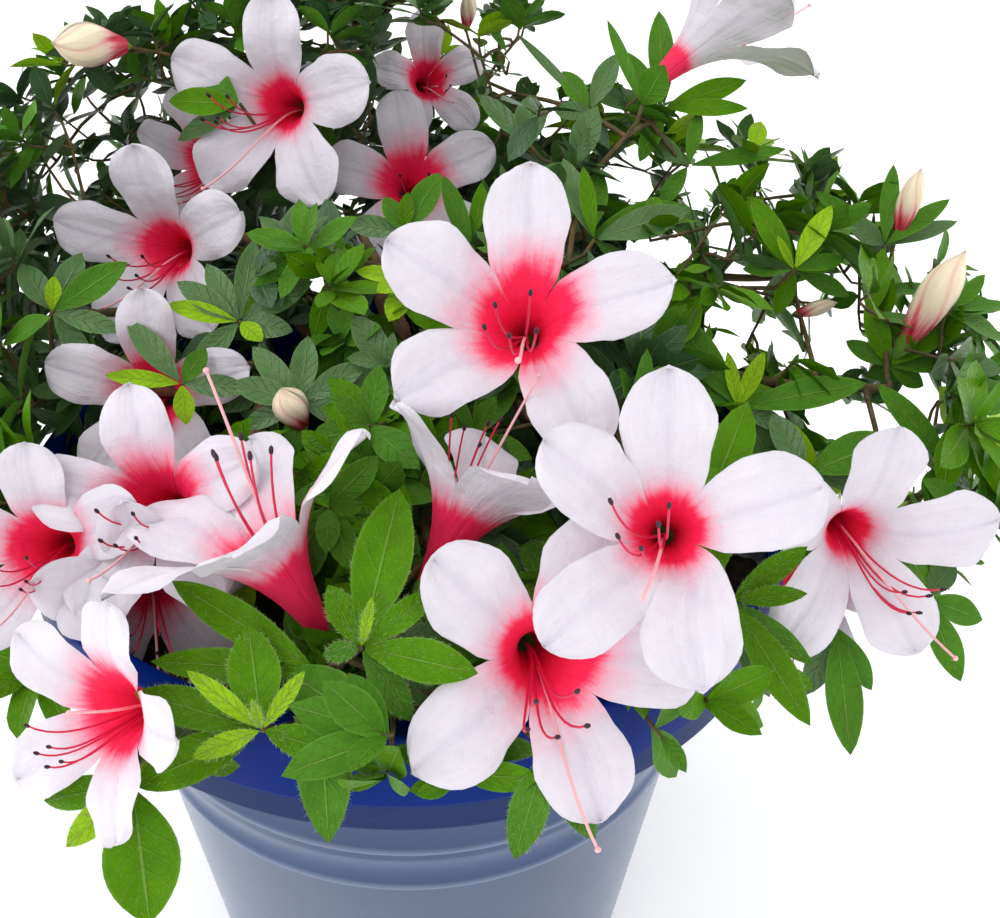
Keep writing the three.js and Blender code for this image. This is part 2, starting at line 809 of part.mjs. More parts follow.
// A twig's way from a place on the mass's wood to a tip; null where it isn't free
function growTwig(mass, from, tip, arrive) {
  const start = from.at.clone();
  const leave = tip.clone().sub(start).normalize().lerp(from.along, growth.twigLean).normalize();
  const curve = limbCurve(start, leave, tip, arrive);
  const steps = start.distanceTo(tip) > growth.longTwig ? 2 : 1;
  const points = curve.getSpacedPoints(Math.ceil(start.distanceTo(tip) / growth.sampleStep));
  const free = points.every((at) => (
    roomAt(mass, at) > growth.clear + growth.twigEnd
    && clearOfPot(at)
    && clearOfLimbs(mass, at, growth.clear + growth.twigEnd)
  ));
  if (!free) return null;
  const rings = twigRings(curve, steps, growth.twigStart, growth.twigEnd);
  const bare = solidOf(stalked(frameAt(tip, arrive, sideways(arrive)), whorl, [], rings));
  if (crosses(mass.blades, bare)) return null;
  return { curve, steps, rings };
}

// The nearest free places on the wood, with those far from the mass's foot a little favoured
function nearestWood(mass, tip) {
  const cost = (node) => node.at.distanceTo(tip) - growth.farFavour * node.run;
  return mass.wood.filter((node) => !node.used).sort((a, b) => cost(a) - cost(b)).slice(0, growth.woodTries);
}

// Takes up a place on the wood, and adds the new twig's own places
function useWood(mass, from, twig) {
  from.used = true;
  const length = twig.curve.getLength();
  for (const share of growth.nodeShares) {
    mass.wood.push({ ...onLimb(twig.curve, twig.steps, share), run: from.run + share * length });
  }
}

// A twig with a whorl of leaves, each as long as its place allows
function growSpray(mass, random, tip, axis) {
  const way = sideways(axis).clone().applyAxisAngle(axis, random() * 2 * Math.PI);
  const frame = frameAt(tip, axis, way);
  const end = tip.clone().addScaledVector(axis, -whorl.under);
  const lobes = Array.from({ length: whorl.count }, (_, index) => ({
    ...whorl,
    turn: (2 * Math.PI * (index + 0.5)) / whorl.count,
    rise: radians(whorl.rise + (random() * 2 - 1) * whorl.riseSpread),
    length: 0,
    grown: lerp(0.85, 1, random()),
  }));
  const stub = [1, 0].map((down) => ({
    middle: end.clone().addScaledVector(axis, -down),
    along: axis,
    radius: growth.twigEnd,
  }));
  const bare = lobes.map((lobe) => ({ ...lobe }));
  lobes.forEach((lobe, index) => {
    for (const share of whorl.lengths) {
      const tried = { ...lobe, length: leafLength * share * lobe.grown };
      const corners = [...lobeCorners(frame, tried), tip, tip.clone().addScaledVector(axis, whorl.heart)];
      if (!fits(mass, corners, true)) continue;
      const alone = bare.map((other, place) => (place === index ? tried : other));
      if (blocked(mass, solidOf(stalked(frame, whorl, alone, stub)))) continue;
      lobe.length = tried.length;
      break;
    }
  });
  const kept = lobes.filter((lobe) => lobe.length > 0).length;
  if (kept < growth.fewestLeaves) return false;
  for (const from of nearestWood(mass, tip).slice(0, growth.sprayWood)) {
    const twig = growTwig(mass, from, end, axis);
    if (!twig) continue;
    const geometry = stalked(frame, whorl, lobes, twig.rings);
    if (!joined(mass, geometry, growth.sprayJoint)) continue;
    mass.blades.push(solidOf(stalked(frame, whorl, lobes, stub)));
    mass.twigs.push(solidOf(stalked(frame, whorl, [], twig.rings)));
    useWood(mass, from, twig);
    return true;
  }
  return false;
}

// Fits a flower on its tube and stalk, a little smaller where it must be
function growBloom(mass, bloom) {
  const up = upward.clone().applyAxisAngle(bloom.face, radians(bloom.spin));
  const way = up.applyAxisAngle(bloom.face, Math.PI / flower.count);
  const frame = frameAt(bloom.at, bloom.face, way);
  for (const share of flower.sizes) {
    const radius = bloomRadius * bloom.size * share;
    const shape = { ...flower, cleft: flower.cleft * radius };
    const lobes = Array.from({ length: flower.count }, (_, index) => ({
      ...flower,
      turn: (2 * Math.PI * (index + 0.5)) / flower.count,
      rise: radians(flower.rise),
      length: radius,
    }));
    const ringAt = (depth, size) => ({
      middle: bloom.at.clone().addScaledVector(bloom.face, -depth * radius),
      along: bloom.face,
      radius: size,
    });
    const tube = [ringAt(flower.tube, flower.tubeFoot), ringAt(flower.under, flower.throat * radius)];
    const corners = lobes.flatMap((lobe) => lobeCorners(frame, lobe));
    if (!fits(mass, [...corners, bloom.at], false)) continue;
    if (!fits(mass, tube.map((ring) => ring.middle), false)) continue;
    const star = solidOf(stalked(frame, shape, lobes, tube));
    if (blocked(mass, star)) continue;
    const end = bloom.at.clone().addScaledVector(bloom.face, -radius * flower.tube - growth.stalkRun);
    for (const from of nearestWood(mass, end)) {
      const twig = growTwig(mass, from, end, bloom.face);
      if (!twig) continue;
      const whole = stalked(frame, shape, lobes, [...twig.rings, ...tube]);
      if (!joined(mass, whole, growth.bloomJoint)) continue;
      mass.blades.push(star);
      mass.twigs.push(solidOf(stalked(frame, whorl, [], twig.rings)));
      useWood(mass, from, twig);
      return true;
    }
  }
  return false;
}

// A closed bud on its twig
function growBud(mass, tip, axis) {
  const frame = frameAt(tip, axis, sideways(axis));
  const body = bud.rings.map(([radius, height]) => ({
    middle: inFrame(frame, 0, 0, height),
    along: axis,
    radius,
  }));
  const skin = bud.rings.flatMap(([radius, height]) => (
    [0, 1, 2, 3].map((quarter) => inFrame(frame, radius, (quarter * Math.PI) / 2, height))));
  if (!fits(mass, skin, false)) return false;
  const alone = solidOf(stalked(frame, bud, [], body));
  if (blocked(mass, alone)) return false;
  const end = tip.clone().addScaledVector(axis, -1);
  for (const from of nearestWood(mass, tip).slice(0, growth.sprayWood)) {
    const twig = growTwig(mass, from, end, axis);
    if (!twig) continue;
    if (!joined(mass, stalked(frame, bud, [], [...twig.rings, ...body]), growth.sprayJoint)) continue;
    mass.blades.push(alone);
    useWood(mass, from, twig);
    return true;
  }
  return false;
}

// A tip's outward way: away from the crown's heart and up
function outwardAt(at) {
  const heart = point(crown.middle.x, crown.middle.y, crown.level - growth.heartBelow);
  const away = at.clone().sub(heart).normalize();
  return away.lerp(upward, growth.upTurn).normalize();
}

const allBlooms = masses.flatMap((mass) => mass.blooms.map((bloom) => bloom.at));

// A tip's flower by rule, where there is room for one
function ruleBloom(mass, at, axis, random) {
  if (depthInside(at) > growth.bloomDepth) return false;
  if (allBlooms.some((other) => other.distanceTo(at) < growth.bloomSpacing)) return false;
  const grown = growBloom(mass, { at, face: axis, spin: random() * 72, size: lerp(0.85, 1, random()) });
  if (grown) allBlooms.push(at);
  return grown;
}

// A mass: its stem, the flowers that the photograph shows, then sprays, flowers and buds by rule
function massGeometry(mass) {
  const random = seeded(seedBase + 97 * masses.indexOf(mass));
  const { curve, size } = mass.stem;
  mass.body = solidOf(limbGeometry(curve, size.start, size.end, growth.stemSides, growth.stemSteps));
  mass.twigs = [mass.body];
  mass.blades = [];
  mass.wood = [];
  const length = curve.getLength();
  for (let run = growth.firstNode; run < length - 1; run += growth.nodeStep) {
    mass.wood.push({ ...onLimb(curve, growth.stemSteps, run / length), run });
  }
  for (const bloom of mass.blooms) growBloom(mass, bloom);
  const tips = [];
  let byRule = 0;
  for (let attempt = 0; attempt < growth.tries && tips.length < growth.sprays; attempt += 1) {
    const at = mass.middle.clone()
      .add(point(random() - 0.5, random() - 0.5, random() - 0.5).multiplyScalar(growth.searchWidth));
    const inside = depthInside(at);
    if (inside < growth.nearSkin || inside > growth.deepest || roomAt(mass, at) < growth.tipRoom) continue;
    if (tips.some((tip) => tip.distanceTo(at) < growth.spacing)) continue;
    const lean = point(random() - 0.5, random() - 0.5, random() - 0.5).multiplyScalar(growth.lean);
    const axis = outwardAt(at).add(lean).normalize();
    if (byRule < growth.bloomsByRule && ruleBloom(mass, at, axis, random)) {
      byRule += 1;
      tips.push(at);
    } else if ((random() < growth.budShare && growBud(mass, at, axis)) || growSpray(mass, random, at, axis)) {
      tips.push(at);
    }
  }
  return welded(mass.body);
}

// The object

addMesh('pot', turned(potProfile(), pot.sides), finishes.potPlastic);
addMesh('soil', turned(soilProfile(), soil.sides), finishes.soilCrumbs);
addMesh('trunk', trunkGeometry(trunkCurve), finishes.bark);
for (const limb of [...boughs, ...branches]) {
  const steps = limb.size === limbs.branch ? 4 : 5;
  const { curve, size } = limb;
  addMesh(limb.name, limbGeometry(curve, size.start, size.end, limbs.sides, steps, true), finishes.bark);
}
for (const mass of masses) {
  addMesh(`foliage_${mass.name}`, massGeometry(mass), finishes.foliage);
}

export default group;
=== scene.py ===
"""An azalea in flower in its plastic pot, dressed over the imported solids.

Sizes are millimetres in the row's frame, and turn into metres where a mesh is made. The limbs and
masses follow the source's rule, and the twigs are carried on from there to finer whorls of leaves.
"""

import logging
import math
from dataclasses import dataclass, field
from enum import Enum
from random import Random
from typing import Any, Iterable, Sequence

import bpy
import numpy as np
from mathutils import Matrix, Vector


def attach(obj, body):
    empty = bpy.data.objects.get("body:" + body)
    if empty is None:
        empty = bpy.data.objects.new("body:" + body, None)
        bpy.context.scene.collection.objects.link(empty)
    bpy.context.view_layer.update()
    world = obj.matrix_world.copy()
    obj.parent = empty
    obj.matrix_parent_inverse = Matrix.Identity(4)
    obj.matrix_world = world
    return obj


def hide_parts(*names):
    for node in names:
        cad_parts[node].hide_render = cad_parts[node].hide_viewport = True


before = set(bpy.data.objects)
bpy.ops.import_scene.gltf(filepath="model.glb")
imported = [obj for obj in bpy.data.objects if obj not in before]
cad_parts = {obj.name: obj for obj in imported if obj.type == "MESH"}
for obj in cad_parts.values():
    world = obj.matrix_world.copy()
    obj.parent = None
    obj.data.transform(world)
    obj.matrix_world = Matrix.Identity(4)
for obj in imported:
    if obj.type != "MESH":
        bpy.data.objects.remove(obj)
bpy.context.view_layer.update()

MM = 0.001
UP = np.array([0.0, 0.0, 1.0])
# How far a bend's inner corners stand from its ends, as a share of its straight length
BEND_PULL = 0.36
# About a full turn in radians, for random phases and places round a ring
ROUND = 6.3
LOG = logging.getLogger("azalea")

Points = np.ndarray
Colour = tuple[float, float, float]
Screen = tuple[int, int, int]
Spot = tuple[float, float, float]
Material = bpy.types.Material
Node = tuple[np.ndarray, float]


# Small sums


def unit(vector: Points) -> Points:
    """Return a vector scaled to length one."""
    return vector / np.linalg.norm(vector)


def lerp(low: float, high: float, share: float) -> float:
    """Return the value that lies a share of the way from low to high."""
    return low + (high - low) * share


def clamp(value: float, low: float, high: float) -> float:
    """Return a value kept between two limits."""
    return min(max(value, low), high)


def smooth(value: Any, low: float, high: float) -> Any:
    """Return an eased step from 0 at low to 1 at high.

    Args:
        value: A number or an array.
        low: Where the step starts.
        high: Where the step ends.

    Returns:
        The step's value, of the same kind as value.
    """
    share = np.clip((value - low) / (high - low), 0.0, 1.0)
    return share * share * (3 - 2 * share)


def linear(red: int, green: int, blue: int) -> Colour:
    """Turn a screen colour into the linear colour that a shader takes.

    Args:
        red: From 0 to 255.
        green: From 0 to 255.
        blue: From 0 to 255.

    Returns:
        The three channels in linear light.
    """
    toe, toe_slope, lift, power = 0.04045, 12.92, 0.055, 2.4

    def channel(value: int) -> float:
        """Return one channel in linear light."""
        share = value / 255
        return share / toe_slope if share <= toe else ((share + lift) / (1 + lift)) ** power

    return channel(red), channel(green), channel(blue)


def sideways(axis: Points) -> Points:
    """Return a direction that isn't along an axis."""
    return np.array([1.0, 0.0, 0.0]) if abs(axis[2]) > 0.9 else UP


def turns_round(sides: int) -> Points:
    """Return even turns round a ring, in radians."""
    return np.linspace(0, 2 * math.pi, sides, endpoint=False)


def runs(points: Points) -> Points:
    """Return how far along a line each of its points lies."""
    return np.concatenate([[0.0], np.cumsum(np.linalg.norm(np.diff(points, axis=0), axis=1))])


def directions(points: Points) -> Points:
    """Return the direction of a line at each of its points."""
    ways = np.gradient(points, axis=0)
    return ways / np.linalg.norm(ways, axis=1)[:, None]


def cubic(share: Points, corners: Sequence[Any]) -> Points:
    """Return points of a cubic curve.

    Args:
        share: Shares of the way along it.
        corners: Its four corners, numbers or points.

    Returns:
        A number or a point for each share.
    """
    rest = 1 - share
    weights = (rest**3, 3 * rest**2 * share, 3 * rest * share**2, share**3)
    return sum(weight * corner for weight, corner in zip(weights, corners))


@dataclass(frozen=True)
class Place:
    """A frame in space: a middle and three directions at right angles."""

    middle: Points
    first: Points
    second: Points
    axis: Points

    @staticmethod
    def at(middle: Points, axis: Points, way: Points) -> "Place":
        """Build a frame from its axis and a rough first direction.

        Args:
            middle: Where the frame lies.
            axis: Its third direction.
            way: A direction that its first direction is near.

        Returns:
            The frame.
        """
        axis = unit(axis)
        first = unit(way - axis * float(way @ axis))
        return Place(middle, first, np.cross(axis, first), axis)

    def world(self, local: Points) -> Points:
        """Return points given in the frame as points in space."""
        basis = np.stack([self.first, self.second, self.axis])
        return self.middle + local @ basis

    def local(self, points: Points) -> Points:
        """Return points in space as points in the frame."""
        basis = np.stack([self.first, self.second, self.axis])
        return (points - self.middle) @ basis.T


@dataclass(frozen=True)
class Bend:
    """A cubic curve between two points, sampled at even lengths."""

    points: Points

    @staticmethod
    def between(start: Points, leave: Points, end: Points, arrive: Points, steps: int) -> "Bend":
        """Sample the curve that leaves one point and arrives at another.

        Args:
            start: Where it starts.
            leave: The direction in which it leaves.
            end: Where it ends.
            arrive: The direction in which it arrives.
            steps: The number of even steps.

        Returns:
            The curve.
        """
        pull = float(np.linalg.norm(end - start)) * BEND_PULL
        share = np.linspace(0.0, 1.0, 4 * steps + 1)[:, None]
        fine = cubic(share, (start, start + leave * pull, end - arrive * pull, end))
        run = runs(fine)
        even = np.linspace(0.0, run[-1], steps + 1)
        return Bend(np.stack([np.interp(even, run, fine[:, axis]) for axis in range(3)], axis=1))

    def length(self) -> float:
        """Return the curve's length."""
        return float(np.linalg.norm(np.diff(self.points, axis=0), axis=1).sum())

    def tangents(self) -> Points:
        """Return the direction of the curve at each of its points."""
        return directions(self.points)


# The photograph's view


@dataclass(frozen=True)
class Eye:
    """The photograph's eye: a 40 mm lens over 36 mm, near and above the plant."""

    place: Spot = (22.6, -252.5, 339.7)
    pitch: float = 33.34
    roll: float = 1.63
    focal: float = 1111.0
    middle_across: float = 500.0
    middle_down: float = 459.0
    lens: float = 40.0
    near_clip: float = 0.01

    def axes(self) -> tuple[Points, Points, Points]:
        """Work out the eye's own directions.

        Returns:
            The directions to the right, up and ahead.
        """
        pitch, roll = math.radians(self.pitch), math.radians(self.roll)
        ahead = np.array([0.0, math.cos(pitch), -math.sin(pitch)])
        level = np.array([1.0, 0.0, 0.0])
        over = np.array([0.0, math.sin(pitch), math.cos(pitch)])
        right = level * math.cos(roll) + over * math.sin(roll)
        up = over * math.cos(roll) - level * math.sin(roll)
        return right, up, ahead

    def seen(self, across: float, down: float, away: float) -> Points:
        """Return the point that a picture point shows at a distance.

        Args:
            across: Picture point from the left.
            down: Picture point from the top.
            away: Distance along the view.

        Returns:
            The point in space.
        """
        right, up, ahead = self.axes()
        sight = ahead + right * (across - self.middle_across) / self.focal
        sight = sight + up * (self.middle_down - down) / self.focal
        return np.array(self.place) + sight * away

    def picture(self, points: Points) -> tuple[Points, Points, Points]:
        """Find points in the photograph.

        Args:
            points: Points in space.

        Returns:
            How far across, down and away the photograph shows them.
        """
        right, up, ahead = self.axes()
        offset = points - np.array(self.place)
        away = offset @ ahead
        across = self.middle_across + self.focal * (offset @ right) / away
        return across, self.middle_down - self.focal * (offset @ up) / away, away

    def facing(self, at: Points, turn: float, tip: float) -> Points:
        """Return a direction near the one back to the eye.

        Args:
            at: Where the direction starts.
            turn: Degrees to the right.
            tip: Degrees up.

        Returns:
            The direction.
        """
        back = unit(np.array(self.place) - at)
        right = unit(np.cross(UP, back))
        over = np.cross(back, right)
        flat = math.cos(math.radians(tip))
        turned = back * math.cos(math.radians(turn)) + right * math.sin(math.radians(turn))
        return turned * flat + over * math.sin(math.radians(tip))

    def make_camera(self) -> None:
        """Put the camera at the eye."""
        right, up, ahead = self.axes()
        data = bpy.data.cameras.new("eye")
        data.lens = self.lens
        data.clip_start = self.near_clip
        camera = bpy.data.objects.new("eye", data)
        columns = Matrix((tuple(right), tuple(up), tuple(-ahead))).transposed()
        camera.matrix_world = Matrix.Translation(Vector(self.place) * MM) @ columns.to_4x4()
        bpy.context.scene.collection.objects.link(camera)
        bpy.context.scene.camera = camera


EYE = Eye()


# Shader maths


@dataclass(frozen=True)
class Value:
    """A number on a node socket, with arithmetic written as Python."""

    graph: "Graph"
    socket: Any

    def sum(self, operation: str, *others: "Value | float") -> "Value":
        """Return the result of a Math node of this value and others."""
        inputs = {index: value for index, value in enumerate((self, *others))}
        return self.graph.value("ShaderNodeMath", {"operation": operation}, inputs)

    def __add__(self, other: "Value | float") -> "Value":
        """Return self + other."""
        return self.sum("ADD", other)

    __radd__ = __add__

    def __sub__(self, other: "Value | float") -> "Value":
        """Return self - other."""
        return self.sum("SUBTRACT", other)

    def __rsub__(self, other: float) -> "Value":
        """Return other - self."""
        return self * -1.0 + other

    def __mul__(self, other: "Value | float") -> "Value":
        """Return self * other."""
        return self.sum("MULTIPLY", other)

    __rmul__ = __mul__

    def __abs__(self) -> "Value":
        """Return the value without its sign."""
        return self.sum("ABSOLUTE")

    def part(self) -> "Value":
        """Return what follows the point."""
        return self.sum("FRACT")

    def step(self, low: float, high: float) -> "Value":
        """Return an eased step from 0 at low to 1 at high."""
        limits = {"Value": self, "From Min": low, "From Max": high}
        return self.graph.value("ShaderNodeMapRange", {"interpolation_type": "SMOOTHSTEP"}, limits)


class Graph:
    """The nodes of one material."""

    def __init__(self, name: str) -> None:
        """Start a material with its shader alone.

        Args:
            name: The material's name.
        """
        self.material = bpy.data.materials.new(name)
        self.material.use_nodes = True
        self.tree = self.material.node_tree
        self.shader = self.tree.nodes["Principled BSDF"]

    def node(self, kind: str, settings: dict[str, Any], inputs: dict[Any, Any]) -> Any:
        """Add a node.

        Args:
            kind: The node's type.
            settings: Its own settings, set first.
            inputs: Values or links of its sockets, by name or number.

        Returns:
            The node.
        """
        made = self.tree.nodes.new(kind)
        for key, setting in settings.items():
            setattr(made, key, setting)
        for key, given in inputs.items():
            self.plug(made.inputs[key], given)
        return made

    def plug(self, socket: Any, given: Any) -> None:
        """Set a socket to a value, or link it.

        Args:
            socket: The input socket.
            given: A number, a colour, a vector, a value or an output socket.
        """
        if isinstance(given, Value):
            given = given.socket
        if isinstance(given, bpy.types.NodeSocket):
            self.tree.links.new(given, socket)
        elif isinstance(given, tuple) and socket.type == "RGBA" and len(given) == 3:
            socket.default_value = (*given, 1.0)
        else:
            socket.default_value = given

    def value(self, kind: str, settings: dict[str, Any], inputs: dict[Any, Any]) -> Value:
        """Add a node and return its first output as a value."""
        return Value(self, self.node(kind, settings, inputs).outputs[0])

    def leaf_points(self) -> tuple[Value, Value]:
        """Return how far across and along its own leaf, petal or tube a point lies."""
        return self.split(self.node("ShaderNodeUVMap", {"uv_map": "OFBake"}, {}).outputs[0])[:2]

    def split(self, vector: Any) -> tuple[Value, Value, Value]:
        """Return the three parts of a vector."""
        parts = self.node("ShaderNodeSeparateXYZ", {}, {0: vector})
        return tuple(Value(self, parts.outputs[index]) for index in range(3))

    def join(self, across: Any, along: Any, over: Any = 0.0) -> Any:
        """Return a vector made of three numbers."""
        return self.node("ShaderNodeCombineXYZ", {}, {0: across, 1: along, 2: over}).outputs[0]

    def object_point(self) -> Any:
        """Return the point's place in the object, in metres."""
        return self.node("ShaderNodeTexCoord", {}, {}).outputs["Object"]

    def noise(self, where: Any, scale: float, detail: float = 2.0) -> Value:
        """Return noise from 0 to 1 at a place."""
        inputs = {"Vector": where, "Scale": scale, "Detail": detail}
        return self.value("ShaderNodeTexNoise", {}, inputs)

    def mix(self, share: Any, low: Any, high: Any) -> Any:
        """Return a colour that goes from low to high."""
        mixed = self.node("ShaderNodeMix", {"data_type": "RGBA"}, {0: share, 6: low, 7: high})
        return mixed.outputs[2]

    def bump(self, height: Value, depth: float) -> None:
        """Raise the surface by a height of 0 to 1 times a depth in metres."""
        inputs = {"Height": height, "Distance": depth, "Strength": 1.0}
        self.plug(self.shader.inputs["Normal"], self.node("ShaderNodeBump", {}, inputs).outputs[0])

    def set(self, **sockets: Any) -> None:
        """Set or link the shader's sockets, whose names have _ for a space."""
        for key, given in sockets.items():
            self.plug(self.shader.inputs[key.replace("_", " ")], given)


# Finishes


class Tone(Enum):
    """The greens of the leaves, each a plain screen colour of the blade."""

    DEEP = (60, 98, 56)
    DARK = (76, 118, 54)
    MIDDLE = (78, 132, 32)
    BRIGHT = (84, 138, 2)
    YOUNG = (150, 196, 26)


@dataclass(frozen=True)
class LeafFinish:
    """A leaf's skin: its green, a paler midrib, side veins, fine pale hairs and a soft gloss."""

    tone: Tone
    pale: Colour = (0.42, 0.6, 0.16)
    dark_sheen: float = 0.5
    light_sheen: float = 0.09
    veins: float = 6.0
    vein_slant: float = 1.4
    patch_scale: float = 150.0
    hair_scales: tuple[float, float] = (34.0, 22.0)
    grain_scale: float = 1300.0
    relief: float = 0.0005

    def make(self) -> Material:
        """Build the material.

        Returns:
            The material.
        """
        graph = Graph(f"leaf_{self.tone.name.lower()}")
        across, along = graph.leaf_points()
        off = abs(across * 2.0 - 1.0)
        green = linear(*self.tone.value)
        pale = tuple(lerp(part, top, 0.3) for part, top in zip(green, self.pale))
        dim = tuple(part * 0.74 for part in green)
        sheen = self.dark_sheen if self.tone in (Tone.DEEP, Tone.DARK) else self.light_sheen
        rib = 1.0 - off.step(0.02, 0.08)
        slant = (along * self.veins - off * self.vein_slant).part()
        vein = 1.0 - abs(slant * 2.0 - 1.0).step(0.0, 0.2)
        patch = graph.noise(graph.object_point(), self.patch_scale, 3.0)
        hair_place = graph.join(across * self.hair_scales[0], along * self.hair_scales[1])
        hairs = graph.noise(hair_place, 1.0, 1.0).step(0.62, 0.74)
        grain = graph.noise(graph.object_point(), self.grain_scale, 2.0)
        blade = graph.mix(patch.step(0.3, 0.7) * 0.65 + grain.step(0.35, 0.65) * 0.35, dim, green)
        veined = graph.mix(vein * 0.16 + off.step(0.86, 1.0) * 0.35, blade, pale)
        graph.set(Base_Color=graph.mix(rib * 0.7 + hairs * 0.35, veined, pale))
        graph.set(Roughness=0.3 - rib * 0.06 + patch * 0.12, Specular_IOR_Level=sheen)
        height = 0.6 - vein * 0.25 - rib * 0.5 + patch * 0.5 + grain * 0.35 + hairs * 0.2
        graph.bump(height, self.relief)
        return graph.material


@dataclass(frozen=True)
class PetalFinish:
    """A petal: white with lavender-grey painted shade in its crease and folds, crimson in the throat,
    feathering out to pink.
    """

    white: Screen = (230, 226, 232)
    # Lavender grey: partly the petal's own faint veins, partly painted shade in its crease and folds
    vein_tint_and_fold_shade: Screen = (196, 188, 205)
    pink: Screen = (248, 124, 160)
    crimson: Screen = (252, 24, 84)
    dark: Screen = (204, 6, 54)
    drift_scale: float = 62.0
    crumple_scale: float = 210.0
    streak_scales: tuple[float, float] = (50.0, 3.0)
    fine_scales: tuple[float, float] = (150.0, 60.0)
    relief: float = 0.0009

    def make(self) -> Material:
        """Build the material. Each lobe has its own fifth of the picture's width.

        Returns:
            The material.
        """
        graph = Graph("petal")
        across, along = graph.leaf_points()
        where = graph.object_point()
        own = (across * 5.0).part()
        off = abs(own * 2.0 - 1.0)
        upper = 1.0 - abs(across - 0.5).step(0.1, 0.42)
        drift = graph.noise(where, self.drift_scale, 2.0)
        crumple = graph.noise(where, self.crumple_scale, 3.0)
        wide, long = self.streak_scales
        streaks = graph.noise(graph.join(across * wide, along * long), 1.0, 3.0)
        wide, long = self.fine_scales
        fine = graph.noise(graph.join(across * wide, along * long), 1.0, 2.0)
        edge = along + (drift - 0.5) * 0.3 + (streaks - 0.5) * 0.14 + (fine - 0.5) * 0.05
        edge = edge + off * 0.03 - upper * 0.05
        red = 1.0 - edge.step(0.5, 0.63)
        blush = 1.0 - edge.step(0.53, 0.76)
        deep = (1.0 - along.step(0.08, 0.36)) * 0.35
        crease = 1.0 - off.step(0.0, 0.2)
        spots = fine.step(0.6, 0.68) * upper * (1.0 - along.step(0.56, 0.7)) * 0.4
        # Painted shade: the crease down each lobe's middle and the crumpled folds darken toward the lavender
        # grey; the streaks are partly the petal's own faint lavender veins and partly painted shade along its
        # soft ribs.
        vein_and_fold_shading = crease * 0.16 + streaks * 0.34 + crumple * 0.4
        plain = graph.mix(vein_and_fold_shading, linear(*self.white), linear(*self.vein_tint_and_fold_shade))
        warm = graph.mix(blush * 0.75, plain, linear(*self.pink))
        hot = graph.mix(red * 0.96, warm, linear(*self.crimson))
        graph.set(Base_Color=graph.mix((deep + spots).step(0.0, 1.0), hot, linear(*self.dark)))
        graph.set(Roughness=0.5 + fine * 0.15, Specular_IOR_Level=0.25)
        graph.set(Subsurface_Weight=0.25, Subsurface_Scale=0.003, Subsurface_Radius=(1.0, 0.6, 0.7))
        graph.bump(streaks * 0.4 + crumple * 0.9 + fine * 0.12 - crease * 0.2, self.relief)
        return graph.material


@dataclass(frozen=True)
class PlainFinish:
    """A small part's finish: one colour with a slightly uneven gloss and grain."""

    name: str
    colour: Screen
    roughness: float = 0.5
    grain: float = 900.0
    depth: float = 0.0001
    glow: float = 0.0

    def make(self) -> Material:
        """Build the material.

        Returns:
            The material.
        """
        graph = Graph(self.name)
        spots = graph.noise(graph.object_point(), self.grain, 2.0)
        graph.set(Base_Color=linear(*self.colour), Roughness=spots * 0.2 + (self.roughness - 0.1))
        graph.set(Subsurface_Weight=self.glow, Subsurface_Scale=0.002)
        graph.bump(spots, self.depth)
        return graph.material


@dataclass(frozen=True)
class BudFinish:
    """A closed bud: cream, with crimson showing between its folds and at its foot."""

    cream: Screen = (240, 226, 196)
    pink: Screen = (232, 130, 140)
    crimson: Screen = (196, 20, 50)
    folds: float = 5.0
    fold_slant: float = 1.2
    streak_scales: tuple[float, float] = (26.0, 3.0)
    relief: float = 0.0006

    def make(self) -> Material:
        """Build the material.

        Returns:
            The material.
        """
        graph = Graph("bud")
        across, along = graph.leaf_points()
        fold = abs((across * self.folds + along * self.fold_slant).part() * 2.0 - 1.0)
        wide, long = self.streak_scales
        streaks = graph.noise(graph.join(across * wide, along * long), 1.0, 2.0)
        foot = 1.0 - (along + (streaks - 0.5) * 0.3).step(0.05, 0.62)
        stripe = (1.0 - fold.step(0.0, 0.5)) * 0.55
        warmth = (foot + stripe * 0.7).step(0.05, 0.9)
        blush = graph.mix(warmth, linear(*self.cream), linear(*self.pink))
        red = (foot * 0.9 + stripe * foot).step(0.35, 1.1)
        graph.set(Base_Color=graph.mix(red, blush, linear(*self.crimson)))
        graph.set(Roughness=0.45 + streaks * 0.1, Subsurface_Weight=0.2, Subsurface_Scale=0.002)
        graph.bump(fold + streaks * 0.3, self.relief)
        return graph.material


@dataclass(frozen=True)
class BarkFinish:
    """Brown bark, red-brown where it is young, with fine cracks along the limb."""

    name: str
    old: Screen
    young: Screen
    crevice: Screen = (38, 24, 16)
    patch_scale: float = 260.0
    crack_scale: float = 1100.0
    relief: float = 0.0006

    def make(self) -> Material:
        """Build the material.

        Returns:
            The material.
        """
        graph = Graph(self.name)
        where = graph.object_point()
        patch = graph.noise(where, self.patch_scale, 4.0)
        crack = graph.noise(where, self.crack_scale, 3.0)
        tone = graph.mix(patch.step(0.36, 0.66), linear(*self.old), linear(*self.young))
        graph.set(Base_Color=graph.mix(crack.step(0.56, 0.7) * 0.5, tone, linear(*self.crevice)))
        graph.set(Roughness=0.72 + crack * 0.2)
        graph.bump(patch * 0.6 + crack * 0.5, self.relief)
        return graph.material


